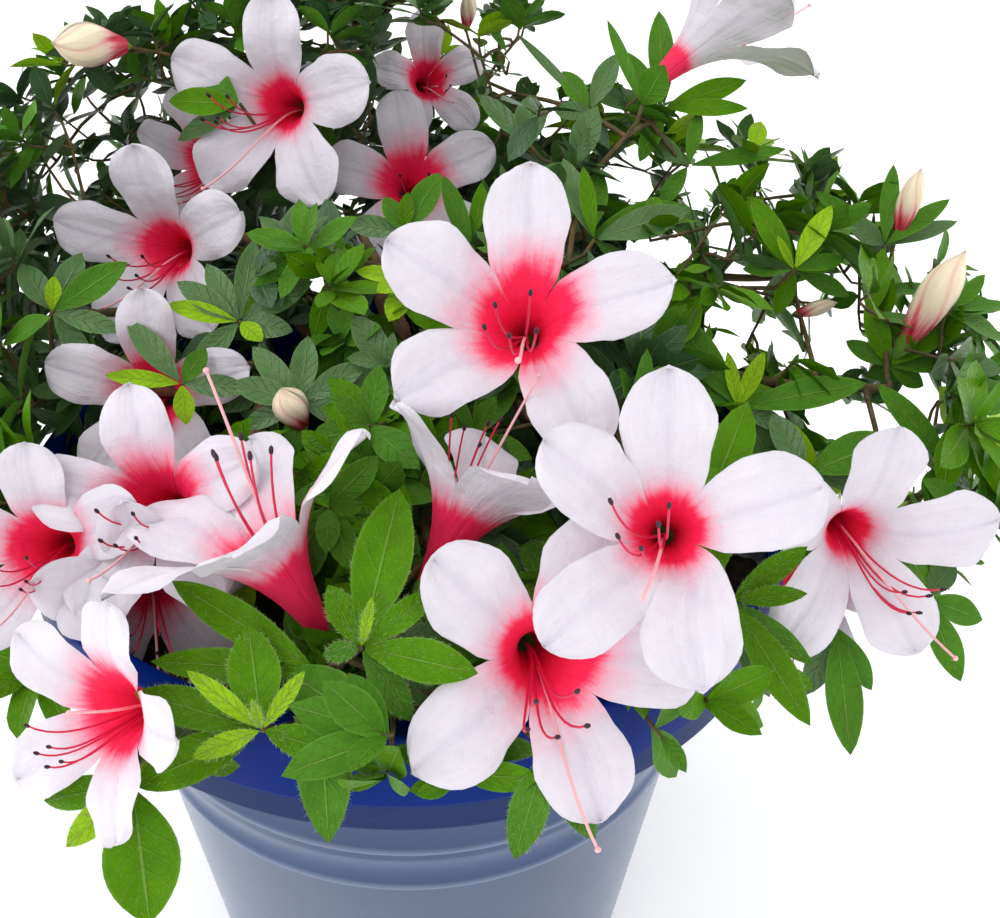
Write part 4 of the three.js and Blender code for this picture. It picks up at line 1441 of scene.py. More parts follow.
@dataclass
class Blossom:
    """All the flowers: petals, stamens, pistils, calyces and buds, each kind a stock of its own."""

    crown: Crown
    rule_count: int = 24
    spacing: float = 48.0
    full_radius: float = 30.0
    tube_depth: float = 0.7
    view_share: float = 0.76
    seed: int = 311
    most_tries: int = 6000
    low_corner: Spot = (-160.0, -110.0, 150.0)
    high_corner: Spot = (160.0, 180.0, 280.0)
    hung_below: float = 22.0
    calyx_rings: tuple[tuple[float, float], ...] = ((0.35, -2.4), (0.75, -1.2), (1.12, 0.0), (1.3, 1.6))
    calyx_point: float = 1.9
    flowers: list[Flower] = field(default_factory=list)
    guards: list[tuple[Points, float]] = field(default_factory=list)
    petals: Stock = field(default_factory=Stock)
    filaments: Stock = field(default_factory=Stock)
    anthers: Stock = field(default_factory=Stock)
    pistils: Stock = field(default_factory=Stock)
    calyces: Stock = field(default_factory=Stock)
    buds: Stock = field(default_factory=Stock)

    def plan(self) -> None:
        """Settle every flower's place: those that the photograph shows, then others by rule."""
        for shown in SHOWN_FLOWERS:
            at, face = shown.stand()
            self.place_flower(at, face, shown.spin, self.full_radius * shown.size, shown.lift, shown)
            size = self.flowers[-1].radius
            self.guards.append((at, size * self.view_share))
            self.guards.append((at - unit(face) * size * 0.4, size * 0.26))
        for shown in SHOWN_BUDS:
            at, face = shown.stand()
            self.bud(at, face, shown.length, shown.opening, shown.stout)
            self.guards.append((at + unit(face) * shown.length * 0.5, shown.length * 0.42))
        self.plan_by_rule()
        self.middles = np.array([flower.place.middle for flower in self.flowers])
        self.sizes = np.array([flower.radius for flower in self.flowers])
        self.sights = np.array([middle for middle, _ in self.guards]) - np.array(EYE.place)
        self.widths = np.array([width for _, width in self.guards])

    def plan_by_rule(self) -> None:
        """Scatter flowers just inside the crown's skin, wherever the photograph shows none."""
        random = np.random.default_rng(self.seed)
        tries = 0
        while len(self.flowers) < len(SHOWN_FLOWERS) + self.rule_count and tries < self.most_tries:
            tries += 1
            spot = random.uniform(self.low_corner, self.high_corner)
            depth = float(self.crown.depth(spot))
            if not 3 < depth < 16 or not self.crown.off_pot(spot - np.array([0, 0, self.hung_below])):
                continue
            if min(float(np.linalg.norm(other.place.middle - spot)) for other in self.flowers) < self.spacing:
                continue
            face = unit(unit(spot - self.crown.heart()) + random.uniform(-0.35, 0.35, 3) + UP * 0.25)
            if self.blocks_view(spot):
                continue
            spin = float(random.uniform(0, 72))
            size = float(self.full_radius * random.uniform(0.85, 0.98))
            self.place_flower(spot, face, spin, size, float(random.uniform(9, 22)), None)

    def blocks_view(self, spot: Points) -> bool:
        """Return whether a flower here would show in the photograph's view."""
        across, down, _ = (float(value[0]) for value in EYE.picture(spot[None, :]))
        return -60 < across < 1060 and -60 < down < 980 and (spot[1] < 120 or across > 480 or spot[2] > 235)

    def place_flower(
        self, at: Points, face: Points, spin: float, radius: float, lift: float, shown: ShownFlower | None
    ) -> None:
        """Add a flower whose upper lobe stands up, turned by its spin.

        Args:
            at: The middle of its mouth.
            face: The way it faces.
            spin: Degrees that it is turned about its axis.
            radius: Its radius.
            lift: How far its lobes rise, in degrees.
            shown: What the photograph shows of it, if anything.
        """
        level = Place.at(at, face, UP)
        turn = math.radians(spin)
        way = level.first * math.cos(turn) + level.second * math.sin(turn)
        self.flowers.append(Flower(Place.at(at, face, way), radius, shown, lift))

    def blocked(self, points: Points) -> Points:
        """Find which points lie in a flower, or in the way of one that the photograph shows.

        Args:
            points: Points of one leaf, twig or spot.

        Returns:
            True for each such point.
        """
        sight = points - np.array(EYE.place)
        share = sight @ self.sights.T / np.sum(self.sights**2, axis=1)
        beside = np.linalg.norm(sight[:, None, :] - share[:, :, None] * self.sights[None, :, :], axis=2)
        found = ((share < 0.99) & (beside < self.widths * share)).any(axis=1)
        middle = points.mean(axis=0)
        spread = float(np.linalg.norm(points - middle, axis=1).max())
        near = np.linalg.norm(self.middles - middle, axis=1) < self.sizes * 1.4 + spread
        for index in np.flatnonzero(near):
            flower = self.flowers[index]
            local = flower.place.local(points)
            out = np.hypot(local[:, 0], local[:, 1])
            above = local[:, 2] - flower.surface(out)
            bowl = flower.radius * (1.4 if flower.shown else 0.9) - 0.4 * out
            found |= (out < flower.radius * 1.02) & (above > -2.5) & (above < bowl)
        return found

    def clear(self, points: Points) -> bool:
        """Return whether points keep off every flower, and out of the way of the shown ones."""
        return not self.blocked(points).any()

    def stamens(self, flower: Flower, random: Random) -> None:
        """Add a flower's five stamens and its pistil, which rise from the tube's foot.

        Args:
            flower: The flower.
            random: What their lean and length are drawn from.
        """
        form = flower.form()
        radius = flower.radius
        thick = radius / self.full_radius
        foot = np.array([0.0, 0.0, -self.tube_depth * radius])
        cosine, sine = math.cos(math.radians(form.spin)), math.sin(math.radians(form.spin))
        spread = ((-0.15, 0.07), (0.12, 0.1), (-0.14, -0.1), (0.14, -0.08), (0.02, -0.18), (0.0, 0.0))
        for right, up in spread:
            pistil = right == up == 0.0
            ends = form.style if pistil else (form.lean[0] + right, form.lean[1] + up)
            level_side = ends[0] + random.uniform(-0.04, 0.04)
            level_over = ends[1] + random.uniform(-0.04, 0.04)
            over = level_over * cosine - level_side * sine
            side = level_side * cosine + level_over * sine
            run = 1.1 if pistil else random.uniform(0.54, 0.7)
            height = math.sqrt(max(0.04, run * run - side * side - over * over))
            end = np.array([over, -side, height]) * radius
            curl = unit(np.array([over * 0.5 + (0.1 if pistil else 0.4), -side * 0.6, height]))
            start = foot + np.array([over, -side, 0.0]) * 0.03 * radius
            line = flower.place.world(Bend.between(start, UP, end, curl, 14).points)
            way = unit(line[-1] - line[-2])
            if pistil:
                tube(self.pistils, line, np.linspace(0.36, 0.28, len(line)) * thick, 6)
                self.knob(self.pistils, line[-1], 0.62 * thick, way, 0.8)
            else:
                tube(self.filaments, line, np.linspace(0.32, 0.22, len(line)) * thick, 6)
                self.knob(self.anthers, line[-1], 0.47 * thick, way, 2.0)

    def knob(self, stock: Stock, at: Points, radius: float, way: Points, stretch: float) -> None:
        """Add a small rounded knob, stretched along its way.

        Args:
            stock: What it is added to.
            at: Its middle.
            radius: Its radius.
            way: Its direction.
            stretch: Its half length, in radii.
        """
        place = Place.at(at, way, sideways(way))
        rows, sides = 5, 8
        turns = turns_round(sides)
        local = []
        for lift in np.linspace(-1, 1, rows) * math.pi / 2 * 0.92:
            wide, high = radius * math.cos(lift), radius * stretch * math.sin(lift)
            local += [(wide * math.cos(turn), wide * math.sin(turn), high) for turn in turns]
        uvs = np.array([(turn / ROUND, row / rows) for row in range(rows) for turn in turns])
        ends = [tuple(range(sides))[::-1], tuple(range((rows - 1) * sides, rows * sides))]
        stock.add(place.world(np.array(local)), uvs, grid_faces(rows, sides, ringed=True) + ends)

    def calyx(self, foot: Points, axis: Points, radius: float) -> None:
        """Add the green cup of five points at a tube's or a bud's foot.

        Args:
            foot: The tube's or bud's foot.
            axis: The way the cup opens.
            radius: The cup's radius.
        """
        place = Place.at(foot, axis, sideways(axis))
        rows, sides = len(self.calyx_rings), 10
        local = []
        for row, (size, height) in enumerate(self.calyx_rings):
            for side in range(sides):
                turn = 2 * math.pi * side / sides
                pointed = row == rows - 1 and side % 2 == 0
                wide = size * radius * (1.12 if pointed else 1.0)
                high = (height + (self.calyx_point if pointed else 0.0)) * radius / 1.6
                local.append((wide * math.cos(turn), wide * math.sin(turn), high))
        uvs = np.array([(side / sides, row / 3) for row in range(rows) for side in range(sides)])
        self.calyces.add(place.world(np.array(local)), uvs, grid_faces(rows, sides, ringed=True))

    def bud(self, foot: Points, axis: Points, length: float, opening: float, stout: float) -> None:
        """Add a closed bud of wound folds.

        Args:
            foot: Where it meets its stalk.
            axis: The way it points.
            length: From foot to tip.
            opening: From 0, a tight small bud, to 1, about to open.
            stout: Its breadth beside a usual bud's.
        """
        place = Place.at(foot, axis, sideways(axis))
        rows, sides = 16, 20
        local, uvs = [], []
        for row in range(rows):
            share = row / (rows - 1)
            swell = math.sin(math.pi * min(1.0, share * 0.93 + 0.05) ** (1.05 + 0.35 * opening)) ** 0.8
            size = stout * length * (0.07 + (0.16 - 0.02 * opening) * swell) * (1 - share**8 * 0.85)
            for side in range(sides):
                turn = 2 * math.pi * side / sides
                wide = size * (1 + 0.1 * abs(math.sin(2.5 * (turn + share * 1.5))) * share)
                local.append((wide * math.cos(turn), wide * math.sin(turn), length * share))
                uvs.append((side / sides, share))
        tip = rows * sides
        local.append((0.0, 0.0, length * 1.03))
        uvs.append((0.5, 1.0))
        last = (rows - 1) * sides
        faces = grid_faces(rows, sides, ringed=True)
        faces += [(last + side, last + (side + 1) % sides, tip) for side in range(sides)]
        self.buds.add(place.world(np.array(local)), np.array(uvs), faces)
        self.calyx(foot, axis, length * 0.075)

    def build(self) -> None:
        """Make the flowers' pieces."""
        random = Random(77)
        faces = grid_faces(Flower.rows, Flower.columns)
        for flower in self.flowers:
            for index in range(5):
                local, uvs = flower.lobe(index, random)
                self.petals.add(flower.place.world(local), uvs, faces)
            self.stamens(flower, random)
            self.calyx(flower.foot(), flower.place.axis, 2.0 * flower.radius / self.full_radius)
        finishes = {
            "petals": (self.petals, PetalFinish()),
            "stamens": (self.filaments, PlainFinish("stamen", (206, 26, 72), 0.4, glow=0.1)),
            "anthers": (self.anthers, PlainFinish("anther", (48, 12, 34), 0.6)),
            "pistils": (self.pistils, PlainFinish("pistil", (240, 178, 184), 0.4, glow=0.2)),
            "calyces": (self.calyces, PlainFinish("calyx", (98, 140, 44), 0.55)),
            "buds": (self.buds, BudFinish()),
        }
        for name, (stock, finish) in finishes.items():
            stock.build(name, finish.make(), "foliage")


# Leaves


@dataclass(frozen=True)
class ShownLeaf:
    """A leaf that the photograph shows: its tip, how much farther off that is, its breadth and green."""

    across: float
    down: float
    beyond: float
    breadth: float
    tone: Tone


@dataclass(frozen=True)
class ShownSpray:
    """A twig's end that the photograph shows, with its leaves."""

    across: float
    down: float
    away: float
    leaves: tuple[ShownLeaf, ...]


@dataclass(frozen=True)
class SkyGap:
    """A round gap between leaves where the photograph shows what lies behind the plant."""

    across: float
    down: float
    size: float


DARK, MIDDLE, BRIGHT, YOUNG = Tone.DARK, Tone.MIDDLE, Tone.BRIGHT, Tone.YOUNG

SHOWN_SPRAYS = (
    ShownSpray(594, 240, 296, (
        ShownLeaf(691, 207, 0, 8.4, DARK), ShownLeaf(583, 165, -2, 4.4, BRIGHT),
        ShownLeaf(563, 156, 3, 6.4, DARK),
    )),
    ShownSpray(590, 110, 332, (
        ShownLeaf(617, 52, 0, 7.0, DARK), ShownLeaf(516, 31, 6, 3.0, DARK),
        ShownLeaf(562, 70, 2, 6.4, MIDDLE), ShownLeaf(556, 112, -2, 6.0, DARK),
    )),
    ShownSpray(642, 106, 318, (
        ShownLeaf(664, 66, -10, 9.4, MIDDLE), ShownLeaf(607, 17, 4, 3.6, MIDDLE),
    )),
    ShownSpray(531, 146, 330, (
        ShownLeaf(530, 94, 0, 9.6, DARK), ShownLeaf(478, 92, 4, 6.0, DARK),
    )),
    ShownSpray(794, 270, 300, (
        ShownLeaf(752, 196, -4, 6.6, BRIGHT), ShownLeaf(832, 204, -2, 6.2, YOUNG),
        ShownLeaf(846, 256, 4, 4.8, MIDDLE), ShownLeaf(742, 268, 4, 4.6, MIDDLE),
        ShownLeaf(778, 236, -6, 2.4, YOUNG),
    )),
    ShownSpray(472, 252, 312, (
        ShownLeaf(443, 174, -2, 5.8, MIDDLE), ShownLeaf(484, 178, 2, 5.0, BRIGHT),
    )),
    ShownSpray(262, 730, 205, (
        ShownLeaf(187, 670, -3, 3.8, YOUNG), ShownLeaf(132, 690, 4, 7.6, BRIGHT),
        ShownLeaf(248, 625, 4, 9.8, BRIGHT), ShownLeaf(304, 671, 0, 3.2, YOUNG),
        ShownLeaf(252, 700, -5, 1.8, YOUNG), ShownLeaf(191, 757, -4, 4.2, YOUNG),
        ShownLeaf(130, 786, 2, 9.0, BRIGHT), ShownLeaf(343, 754, -3, 6.4, BRIGHT),
    )),
    ShownSpray(318, 672, 210, (
        ShownLeaf(169, 578, 6, 7.6, BRIGHT), ShownLeaf(147, 660, 3, 6.8, BRIGHT),
        ShownLeaf(340, 744, -4, 8.0, MIDDLE), ShownLeaf(329, 846, -3, 10.4, MIDDLE),
        ShownLeaf(375, 750, -2, 2.6, YOUNG), ShownLeaf(412, 716, 2, 5.4, BRIGHT),
    )),
    ShownSpray(361, 648, 208, (
        ShownLeaf(400, 486, 10, 11.4, BRIGHT), ShownLeaf(328, 584, 2, 5.8, BRIGHT),
        ShownLeaf(372, 598, -4, 2.2, YOUNG), ShownLeaf(438, 588, 3, 5.2, BRIGHT),
        ShownLeaf(478, 672, -2, 8.4, BRIGHT), ShownLeaf(448, 628, 6, 4.8, DARK),
        ShownLeaf(414, 722, 1, 6.2, MIDDLE), ShownLeaf(468, 722, 8, 5.6, DARK),
        ShownLeaf(322, 655, -2, 4.0, MIDDLE),
    )),
    ShownSpray(132, 784, 210, (
        ShownLeaf(150, 925, -4, 14.0, BRIGHT), ShownLeaf(64, 848, -2, 5.8, YOUNG),
        ShownLeaf(125, 718, 8, 8.6, DARK), ShownLeaf(157, 758, -2, 2.4, YOUNG),
        ShownLeaf(40, 800, 4, 6.4, BRIGHT), ShownLeaf(215, 700, 10, 8.0, DARK),
    )),
    ShownSpray(546, 752, 214, (
        ShownLeaf(514, 860, -5, 7.6, MIDDLE), ShownLeaf(596, 842, -2, 6.4, MIDDLE),
        ShownLeaf(450, 742, 8, 6.0, MIDDLE),
    )),
    ShownSpray(560, 575, 238, (
        ShownLeaf(500, 604, 0, 8.0, BRIGHT), ShownLeaf(520, 545, 4, 7.0, MIDDLE),
        ShownLeaf(610, 552, 6, 6.5, DARK),
    )),
    ShownSpray(731, 600, 246, (
        ShownLeaf(808, 546, -2, 5.6, BRIGHT), ShownLeaf(807, 593, -6, 4.6, BRIGHT),
        ShownLeaf(815, 665, -2, 5.2, MIDDLE), ShownLeaf(812, 726, -8, 8.2, BRIGHT),
        ShownLeaf(772, 700, 6, 7.0, DARK),
    )),
    ShownSpray(836, 626, 262, (
        ShownLeaf(851, 756, -6, 8.4, MIDDLE), ShownLeaf(873, 692, 2, 5.6, MIDDLE),
        ShownLeaf(799, 528, 4, 6.4, MIDDLE), ShownLeaf(806, 696, 4, 6.6, DARK),
    )),
    ShownSpray(926, 598, 262, (
        ShownLeaf(962, 682, -4, 7.0, MIDDLE), ShownLeaf(985, 620, 2, 7.0, MIDDLE),
        ShownLeaf(955, 560, 4, 6.0, DARK),
    )),
    ShownSpray(738, 408, 284, (
        ShownLeaf(868, 381, -4, 8.2, MIDDLE), ShownLeaf(670, 307, 2, 8.4, MIDDLE),
        ShownLeaf(764, 352, -5, 4.6, YOUNG), ShownLeaf(646, 352, 4, 8.4, MIDDLE),
        ShownLeaf(790, 428, 0, 5.0, DARK), ShownLeaf(728, 352, -3, 3.6, YOUNG),
        ShownLeaf(776, 466, 4, 7.4, DARK),
    )),
    ShownSpray(806, 474, 268, (
        ShownLeaf(896, 436, 0, 10.2, MIDDLE), ShownLeaf(772, 412, 6, 7.0, DARK),
        ShownLeaf(886, 486, 6, 6.4, DARK),
    )),
    ShownSpray(950, 464, 280, (
        ShownLeaf(880, 384, -4, 6.4, MIDDLE), ShownLeaf(925, 500, 0, 7.0, MIDDLE),
        ShownLeaf(965, 392, 2, 6.4, BRIGHT), ShownLeaf(990, 440, 0, 6.4, MIDDLE),
    )),
    ShownSpray(795, 270, 322, (
        ShownLeaf(748, 196, -4, 8.6, BRIGHT), ShownLeaf(834, 205, -6, 8.2, BRIGHT),
        ShownLeaf(846, 256, -2, 6.2, BRIGHT), ShownLeaf(776, 314, -4, 5.6, BRIGHT),
        ShownLeaf(728, 256, 4, 4.6, DARK), ShownLeaf(852, 296, 4, 5.4, MIDDLE),
    )),
    ShownSpray(888, 366, 318, (
        ShownLeaf(868, 300, -4, 6.8, BRIGHT), ShownLeaf(958, 318, -4, 7.2, BRIGHT),
        ShownLeaf(957, 362, 0, 5.6, MIDDLE), ShownLeaf(846, 340, 4, 5.4, MIDDLE),
        ShownLeaf(925, 386, 2, 6.0, MIDDLE),
    )),
    ShownSpray(884, 246, 328, (
        ShownLeaf(816, 190, 0, 5.6, MIDDLE), ShownLeaf(848, 218, -3, 6.6, DARK),
        ShownLeaf(951, 197, 0, 5.6, MIDDLE), ShownLeaf(894, 162, 4, 5.4, MIDDLE),
        ShownLeaf(870, 312, -6, 7.6, BRIGHT), ShownLeaf(960, 219, 4, 5.0, DARK),
    )),
    ShownSpray(664, 108, 338, (
        ShownLeaf(659, 8, 2, 8.0, MIDDLE), ShownLeaf(618, 48, 0, 6.6, MIDDLE),
        ShownLeaf(748, 78, 2, 7.0, BRIGHT), ShownLeaf(749, 107, -2, 5.4, BRIGHT),
        ShownLeaf(588, 92, 0, 6.6, DARK), ShownLeaf(640, 160, -5, 6.2, MIDDLE),
    )),
    ShownSpray(688, 166, 336, (
        ShownLeaf(788, 147, 0, 5.4, MIDDLE), ShownLeaf(640, 130, 4, 6.6, DARK),
        ShownLeaf(700, 108, 3, 4.8, MIDDLE), ShownLeaf(660, 205, 0, 5.6, MIDDLE),
    )),
    ShownSpray(588, 238, 318, (
        ShownLeaf(692, 206, 0, 11.0, MIDDLE), ShownLeaf(600, 168, 4, 7.6, MIDDLE),
        ShownLeaf(560, 190, 6, 6.6, DARK),
    )),
    ShownSpray(240, 322, 282, (
        ShownLeaf(176, 280, 0, 6.4, DARK), ShownLeaf(166, 303, -2, 5.2, YOUNG),
        ShownLeaf(206, 262, 2, 6.2, DARK), ShownLeaf(254, 238, 3, 6.4, DARK),
        ShownLeaf(300, 238, 0, 6.0, MIDDLE), ShownLeaf(312, 280, -2, 6.2, DARK),
        ShownLeaf(292, 330, -3, 6.2, DARK), ShownLeaf(262, 340, -4, 5.0, YOUNG),
        ShownLeaf(192, 366, 0, 6.2, DARK),
    )),
    ShownSpray(300, 402, 262, (
        ShownLeaf(232, 382, -2, 6.6, DARK), ShownLeaf(252, 345, 2, 6.2, DARK),
        ShownLeaf(308, 335, 2, 6.4, DARK), ShownLeaf(366, 362, 0, 6.2, DARK),
        ShownLeaf(362, 418, -2, 6.4, DARK), ShownLeaf(292, 458, -3, 5.4, MIDDLE),
        ShownLeaf(240, 428, 0, 5.0, DARK),
    )),
    ShownSpray(240, 104, 331, (
        ShownLeaf(168, 100, -4, 8.4, BRIGHT), ShownLeaf(196, 62, 2, 7.2, MIDDLE),
        ShownLeaf(176, 140, 4, 6.0, DARK), ShownLeaf(184, 84, 4, 6.0, DARK),
    )),
    ShownSpray(52, 312, 284, (
        ShownLeaf(126, 262, -2, 7.8, MIDDLE), ShownLeaf(82, 252, 2, 7.0, DARK),
        ShownLeaf(54, 276, -2, 4.2, YOUNG), ShownLeaf(20, 262, 2, 7.0, DARK),
        ShownLeaf(122, 330, -2, 5.8, DARK), ShownLeaf(92, 364, 0, 5.6, DARK),
    )),
    ShownSpray(182, 384, 276, (
        ShownLeaf(104, 374, -2, 4.6, YOUNG), ShownLeaf(126, 318, 2, 6.4, DARK),
        ShownLeaf(186, 424, -3, 5.2, YOUNG), ShownLeaf(248, 388, -2, 6.0, DARK),
        ShownLeaf(206, 348, 2, 5.4, MIDDLE),
    )),
    ShownSpray(404, 232, 300, (
        ShownLeaf(440, 172, -2, 7.6, MIDDLE), ShownLeaf(384, 196, 0, 5.4, MIDDLE),
        ShownLeaf(408, 192, -3, 4.4, BRIGHT), ShownLeaf(452, 250, 2, 6.4, DARK),
        ShownLeaf(346, 222, 2, 6.4, DARK), ShownLeaf(396, 322, -8, 6.6, BRIGHT),
    )),
)

SKY_GAPS = (
    SkyGap(830, 60, 78), SkyGap(905, 90, 66), SkyGap(970, 80, 72), SkyGap(738, 10, 26),
    SkyGap(800, 118, 24), SkyGap(596, 14, 26), SkyGap(640, 24, 12), SkyGap(560, 40, 12),
    SkyGap(705, 130, 9), SkyGap(728, 165, 11), SkyGap(614, 105, 9), SkyGap(638, 158, 9),
    SkyGap(637, 187, 13), SkyGap(699, 178, 11), SkyGap(697, 200, 7), SkyGap(608, 186, 7),
    SkyGap(642, 252, 10), SkyGap(661, 248, 9), SkyGap(681, 254, 9), SkyGap(720, 236, 9),
    SkyGap(738, 272, 11), SkyGap(758, 280, 9), SkyGap(849, 281, 9), SkyGap(713, 316, 7),
    SkyGap(739, 316, 10), SkyGap(763, 337, 7), SkyGap(786, 351, 10), SkyGap(729, 345, 10),
    SkyGap(734, 360, 9), SkyGap(809, 289, 10), SkyGap(828, 348, 17), SkyGap(852, 352, 15),
    SkyGap(841, 319, 9), SkyGap(921, 262, 11), SkyGap(919, 383, 9), SkyGap(774, 414, 10),
    SkyGap(766, 438, 8), SkyGap(822, 414, 15), SkyGap(852, 418, 14), SkyGap(880, 424, 13),
    SkyGap(906, 430, 11), SkyGap(927, 394, 10), SkyGap(897, 472, 8), SkyGap(829, 612, 7),
    SkyGap(776, 651, 8), SkyGap(790, 634, 7), SkyGap(860, 176, 12), SkyGap(780, 176, 13),
    SkyGap(934, 172, 16), SkyGap(770, 236, 8), SkyGap(58, 26, 5), SkyGap(117, 107, 6), SkyGap(86, 102, 4),
    SkyGap(152, 107, 8), SkyGap(99, 153, 5), SkyGap(86, 175, 8), SkyGap(60, 184, 4), SkyGap(71, 69, 4),
    SkyGap(323, 36, 6), SkyGap(318, 283, 6), SkyGap(293, 334, 8), SkyGap(285, 357, 7), SkyGap(229, 349, 8),
    SkyGap(377, 306, 7), SkyGap(407, 334, 8), SkyGap(890, 700, 16), SkyGap(930, 720, 30),
    SkyGap(760, 800, 60), SkyGap(840, 800, 50), SkyGap(900, 790, 60), SkyGap(230, 850, 32),
    SkyGap(90, 890, 30), SkyGap(700, 740, 16), SkyGap(525, 58, 16), SkyGap(548, 62, 22),
    SkyGap(584, 66, 17), SkyGap(505, 86, 9), SkyGap(548, 96, 9), SkyGap(512, 34, 9), SkyGap(495, 120, 6),
    SkyGap(556, 120, 5), SkyGap(546, 132, 5),
)


Leaf = tuple[Tone, Points, Points, int]


@dataclass
class Leaves:
    """Whorls of leaves on twigs that branch from each mass's stem."""

    tree: LimbTree
    wood: Wood
    blossom: Blossom
    crown: Crown
    near_spacing: float = 12.5
    inner_spacing: float = 17.0
    open_right: float = 0.2
    node_tries: int = 16
    flower_cost: int = 20
    hairs_each: int = 170
    hair_length: float = 0.75
    hair_radius: float = 0.036
    hair_colour: Screen = (184, 206, 142)
    near_away: float = 262.0
    cell: float = 27.0
    outer_depth: float = 16.0
    deepest: float = 44.0
    seed: int = 1871
    spot_count: int = 90000
    low_corner: Spot = (-168.0, -120.0, 138.0)
    high_corner: Spot = (166.0, 188.0, 284.0)
    over_skin: float = 8.0
    spray_room: float = 12500.0
    spray_reach: float = 14.0
    fewest: int = 3
    spur: float = 9.0
    golden: float = 137.5
    columns: int = 5
    shown_rows: int = 12
    outer_rows: int = 7
    inner_rows: int = 5
    stalk_length: float = 9.0
    stalk_radius: float = 0.8
    twig_radius: float = 0.6
    twig_steps: int = 10
    stem_root: float = 2.5
    lengths: tuple[float, float] = (18.5, 25.0)
    bud_share: float = 0.07
    second_tries: tuple[tuple[float, float], ...] = ((1.0, 0.0), (0.8, 42.0), (0.62, -45.0))
    stocks: dict[Tone, Stock] = field(default_factory=lambda: {tone: Stock() for tone in Tone})
    hairs: Stock = field(default_factory=Stock)
    leaf_count: int = 0

    def __post_init__(self) -> None:
        """Gather the gaps' and the shown sprays' places."""
        self.gaps = np.array([(gap.across, gap.down, gap.size) for gap in SKY_GAPS])
        self.sprays = np.array([(spray.across, spray.down, spray.away) for spray in SHOWN_SPRAYS])

    def blade(
        self, length: float, half: float, fold: float, droop: float, curl: float, rows: int
    ) -> tuple[Points, Points]:
        """Shape one leaf along its first direction.

        Args:
            length: From foot to tip.
            half: Half its width.
            fold: How far its sides fold up.
            droop: How far its tip hangs, as a share of its length.
            curl: How far its edges wave.
            rows: Rows of points before the tip.

        Returns:
            Points in the leaf's frame, and their places across and along.
        """
        along = np.linspace(0, 1, rows + 1)[:-1]
        across = np.linspace(-1, 1, self.columns)
        outline = np.maximum(np.sin(math.pi * along**1.08) ** 0.75, 0.07) * half
        x = np.tile((along * length)[:, None], (1, self.columns))
        y = outline[:, None] * across[None, :]
        lift = fold * np.abs(y) * (1 - 0.5 * along[:, None])
        wave = curl * half * np.sin(along[:, None] * 11 + across[None, :]) * across[None, :] ** 2
        z = lift - droop * length * along[:, None] ** 2 + wave
        points = np.stack([x, y, z], axis=-1).reshape(-1, 3)
        points = np.vstack([points, [length, 0.0, -droop * length]])
        u = np.tile((0.5 + 0.5 * across)[None, :], (rows, 1)).ravel()
        v = np.repeat(along, self.columns)
        uvs = np.vstack([np.stack([u, v], axis=1), [0.5, 1.0]])
        return points, uvs

    def blade_faces(self, rows: int) -> list[tuple[int, ...]]:
        """List a leaf's faces.

        Args:
            rows: Rows of points before its tip.

        Returns:
            Four-cornered faces, and three-cornered ones at the tip.
        """
        last, tip = (rows - 1) * self.columns, rows * self.columns
        point = [(last + side, last + side + 1, tip) for side in range(self.columns - 1)]
        return grid_faces(rows, self.columns) + point

    def fit_leaf(
        self, foot: Points, along: Points, over: Points, length: float, tone: Tone, random: Random, rows: int
    ) -> list[Leaf]:
        """Shape a leaf, and return it only where there is room for it.

        Args:
            foot: Where it meets its twig.
            along: The way it points.
            over: The side that faces the light.
            length: From foot to tip.
            tone: Its green.
            random: What its form is drawn from.
            rows: Rows of points along it.

        Returns:
            The leaf in a list, or an empty list.
        """
        half = length * random.uniform(0.19, 0.235)
        bends = random.uniform(0.12, 0.42), random.uniform(0.02, 0.2), random.uniform(0.02, 0.1)
        points, uvs = self.blade(length, half, *bends, rows)
        world = Place.at(foot, over, along).world(points)
        probes = world[::3]
        outside = (self.crown.depth(probes) < -self.over_skin).any() or not self.crown.off_pot(probes).all()
        if outside or not self.blossom.clear(probes) or self.in_gaps(world).any():
            return []
        return [(tone, world, uvs, rows)]

    def keep(self, leaves: list[Leaf]) -> None:
        """Add leaves that were found to fit.

        Args:
            leaves: The leaves.
        """
        for tone, world, uvs, rows in leaves:
            self.stocks[tone].add(world, uvs, self.blade_faces(rows))
        self.leaf_count += len(leaves)

    def in_gaps(self, points: Points) -> Points:
        """Find which points show in one of the gaps.

        Args:
            points: Points in space.

        Returns:
            True for each that does.
        """
        across, down, _ = EYE.picture(points)
        apart = np.hypot(across[:, None] - self.gaps[:, 0], down[:, None] - self.gaps[:, 1])
        return (apart < self.gaps[:, 2]).any(axis=1)

    def before_shown(self, spot: Points) -> bool:
        """Find whether a whorl would hide a spray that the photograph shows.

        Args:
            spot: The whorl's place.

        Returns:
            Whether it would.
        """
        across, down, away = EYE.picture(spot[None, :])
        apart = np.hypot(across - self.sprays[:, 0], down - self.sprays[:, 1])
        nearer = away < self.sprays[:, 2] + self.spray_reach
        return bool(((apart < self.spray_room / away) & nearer).any())

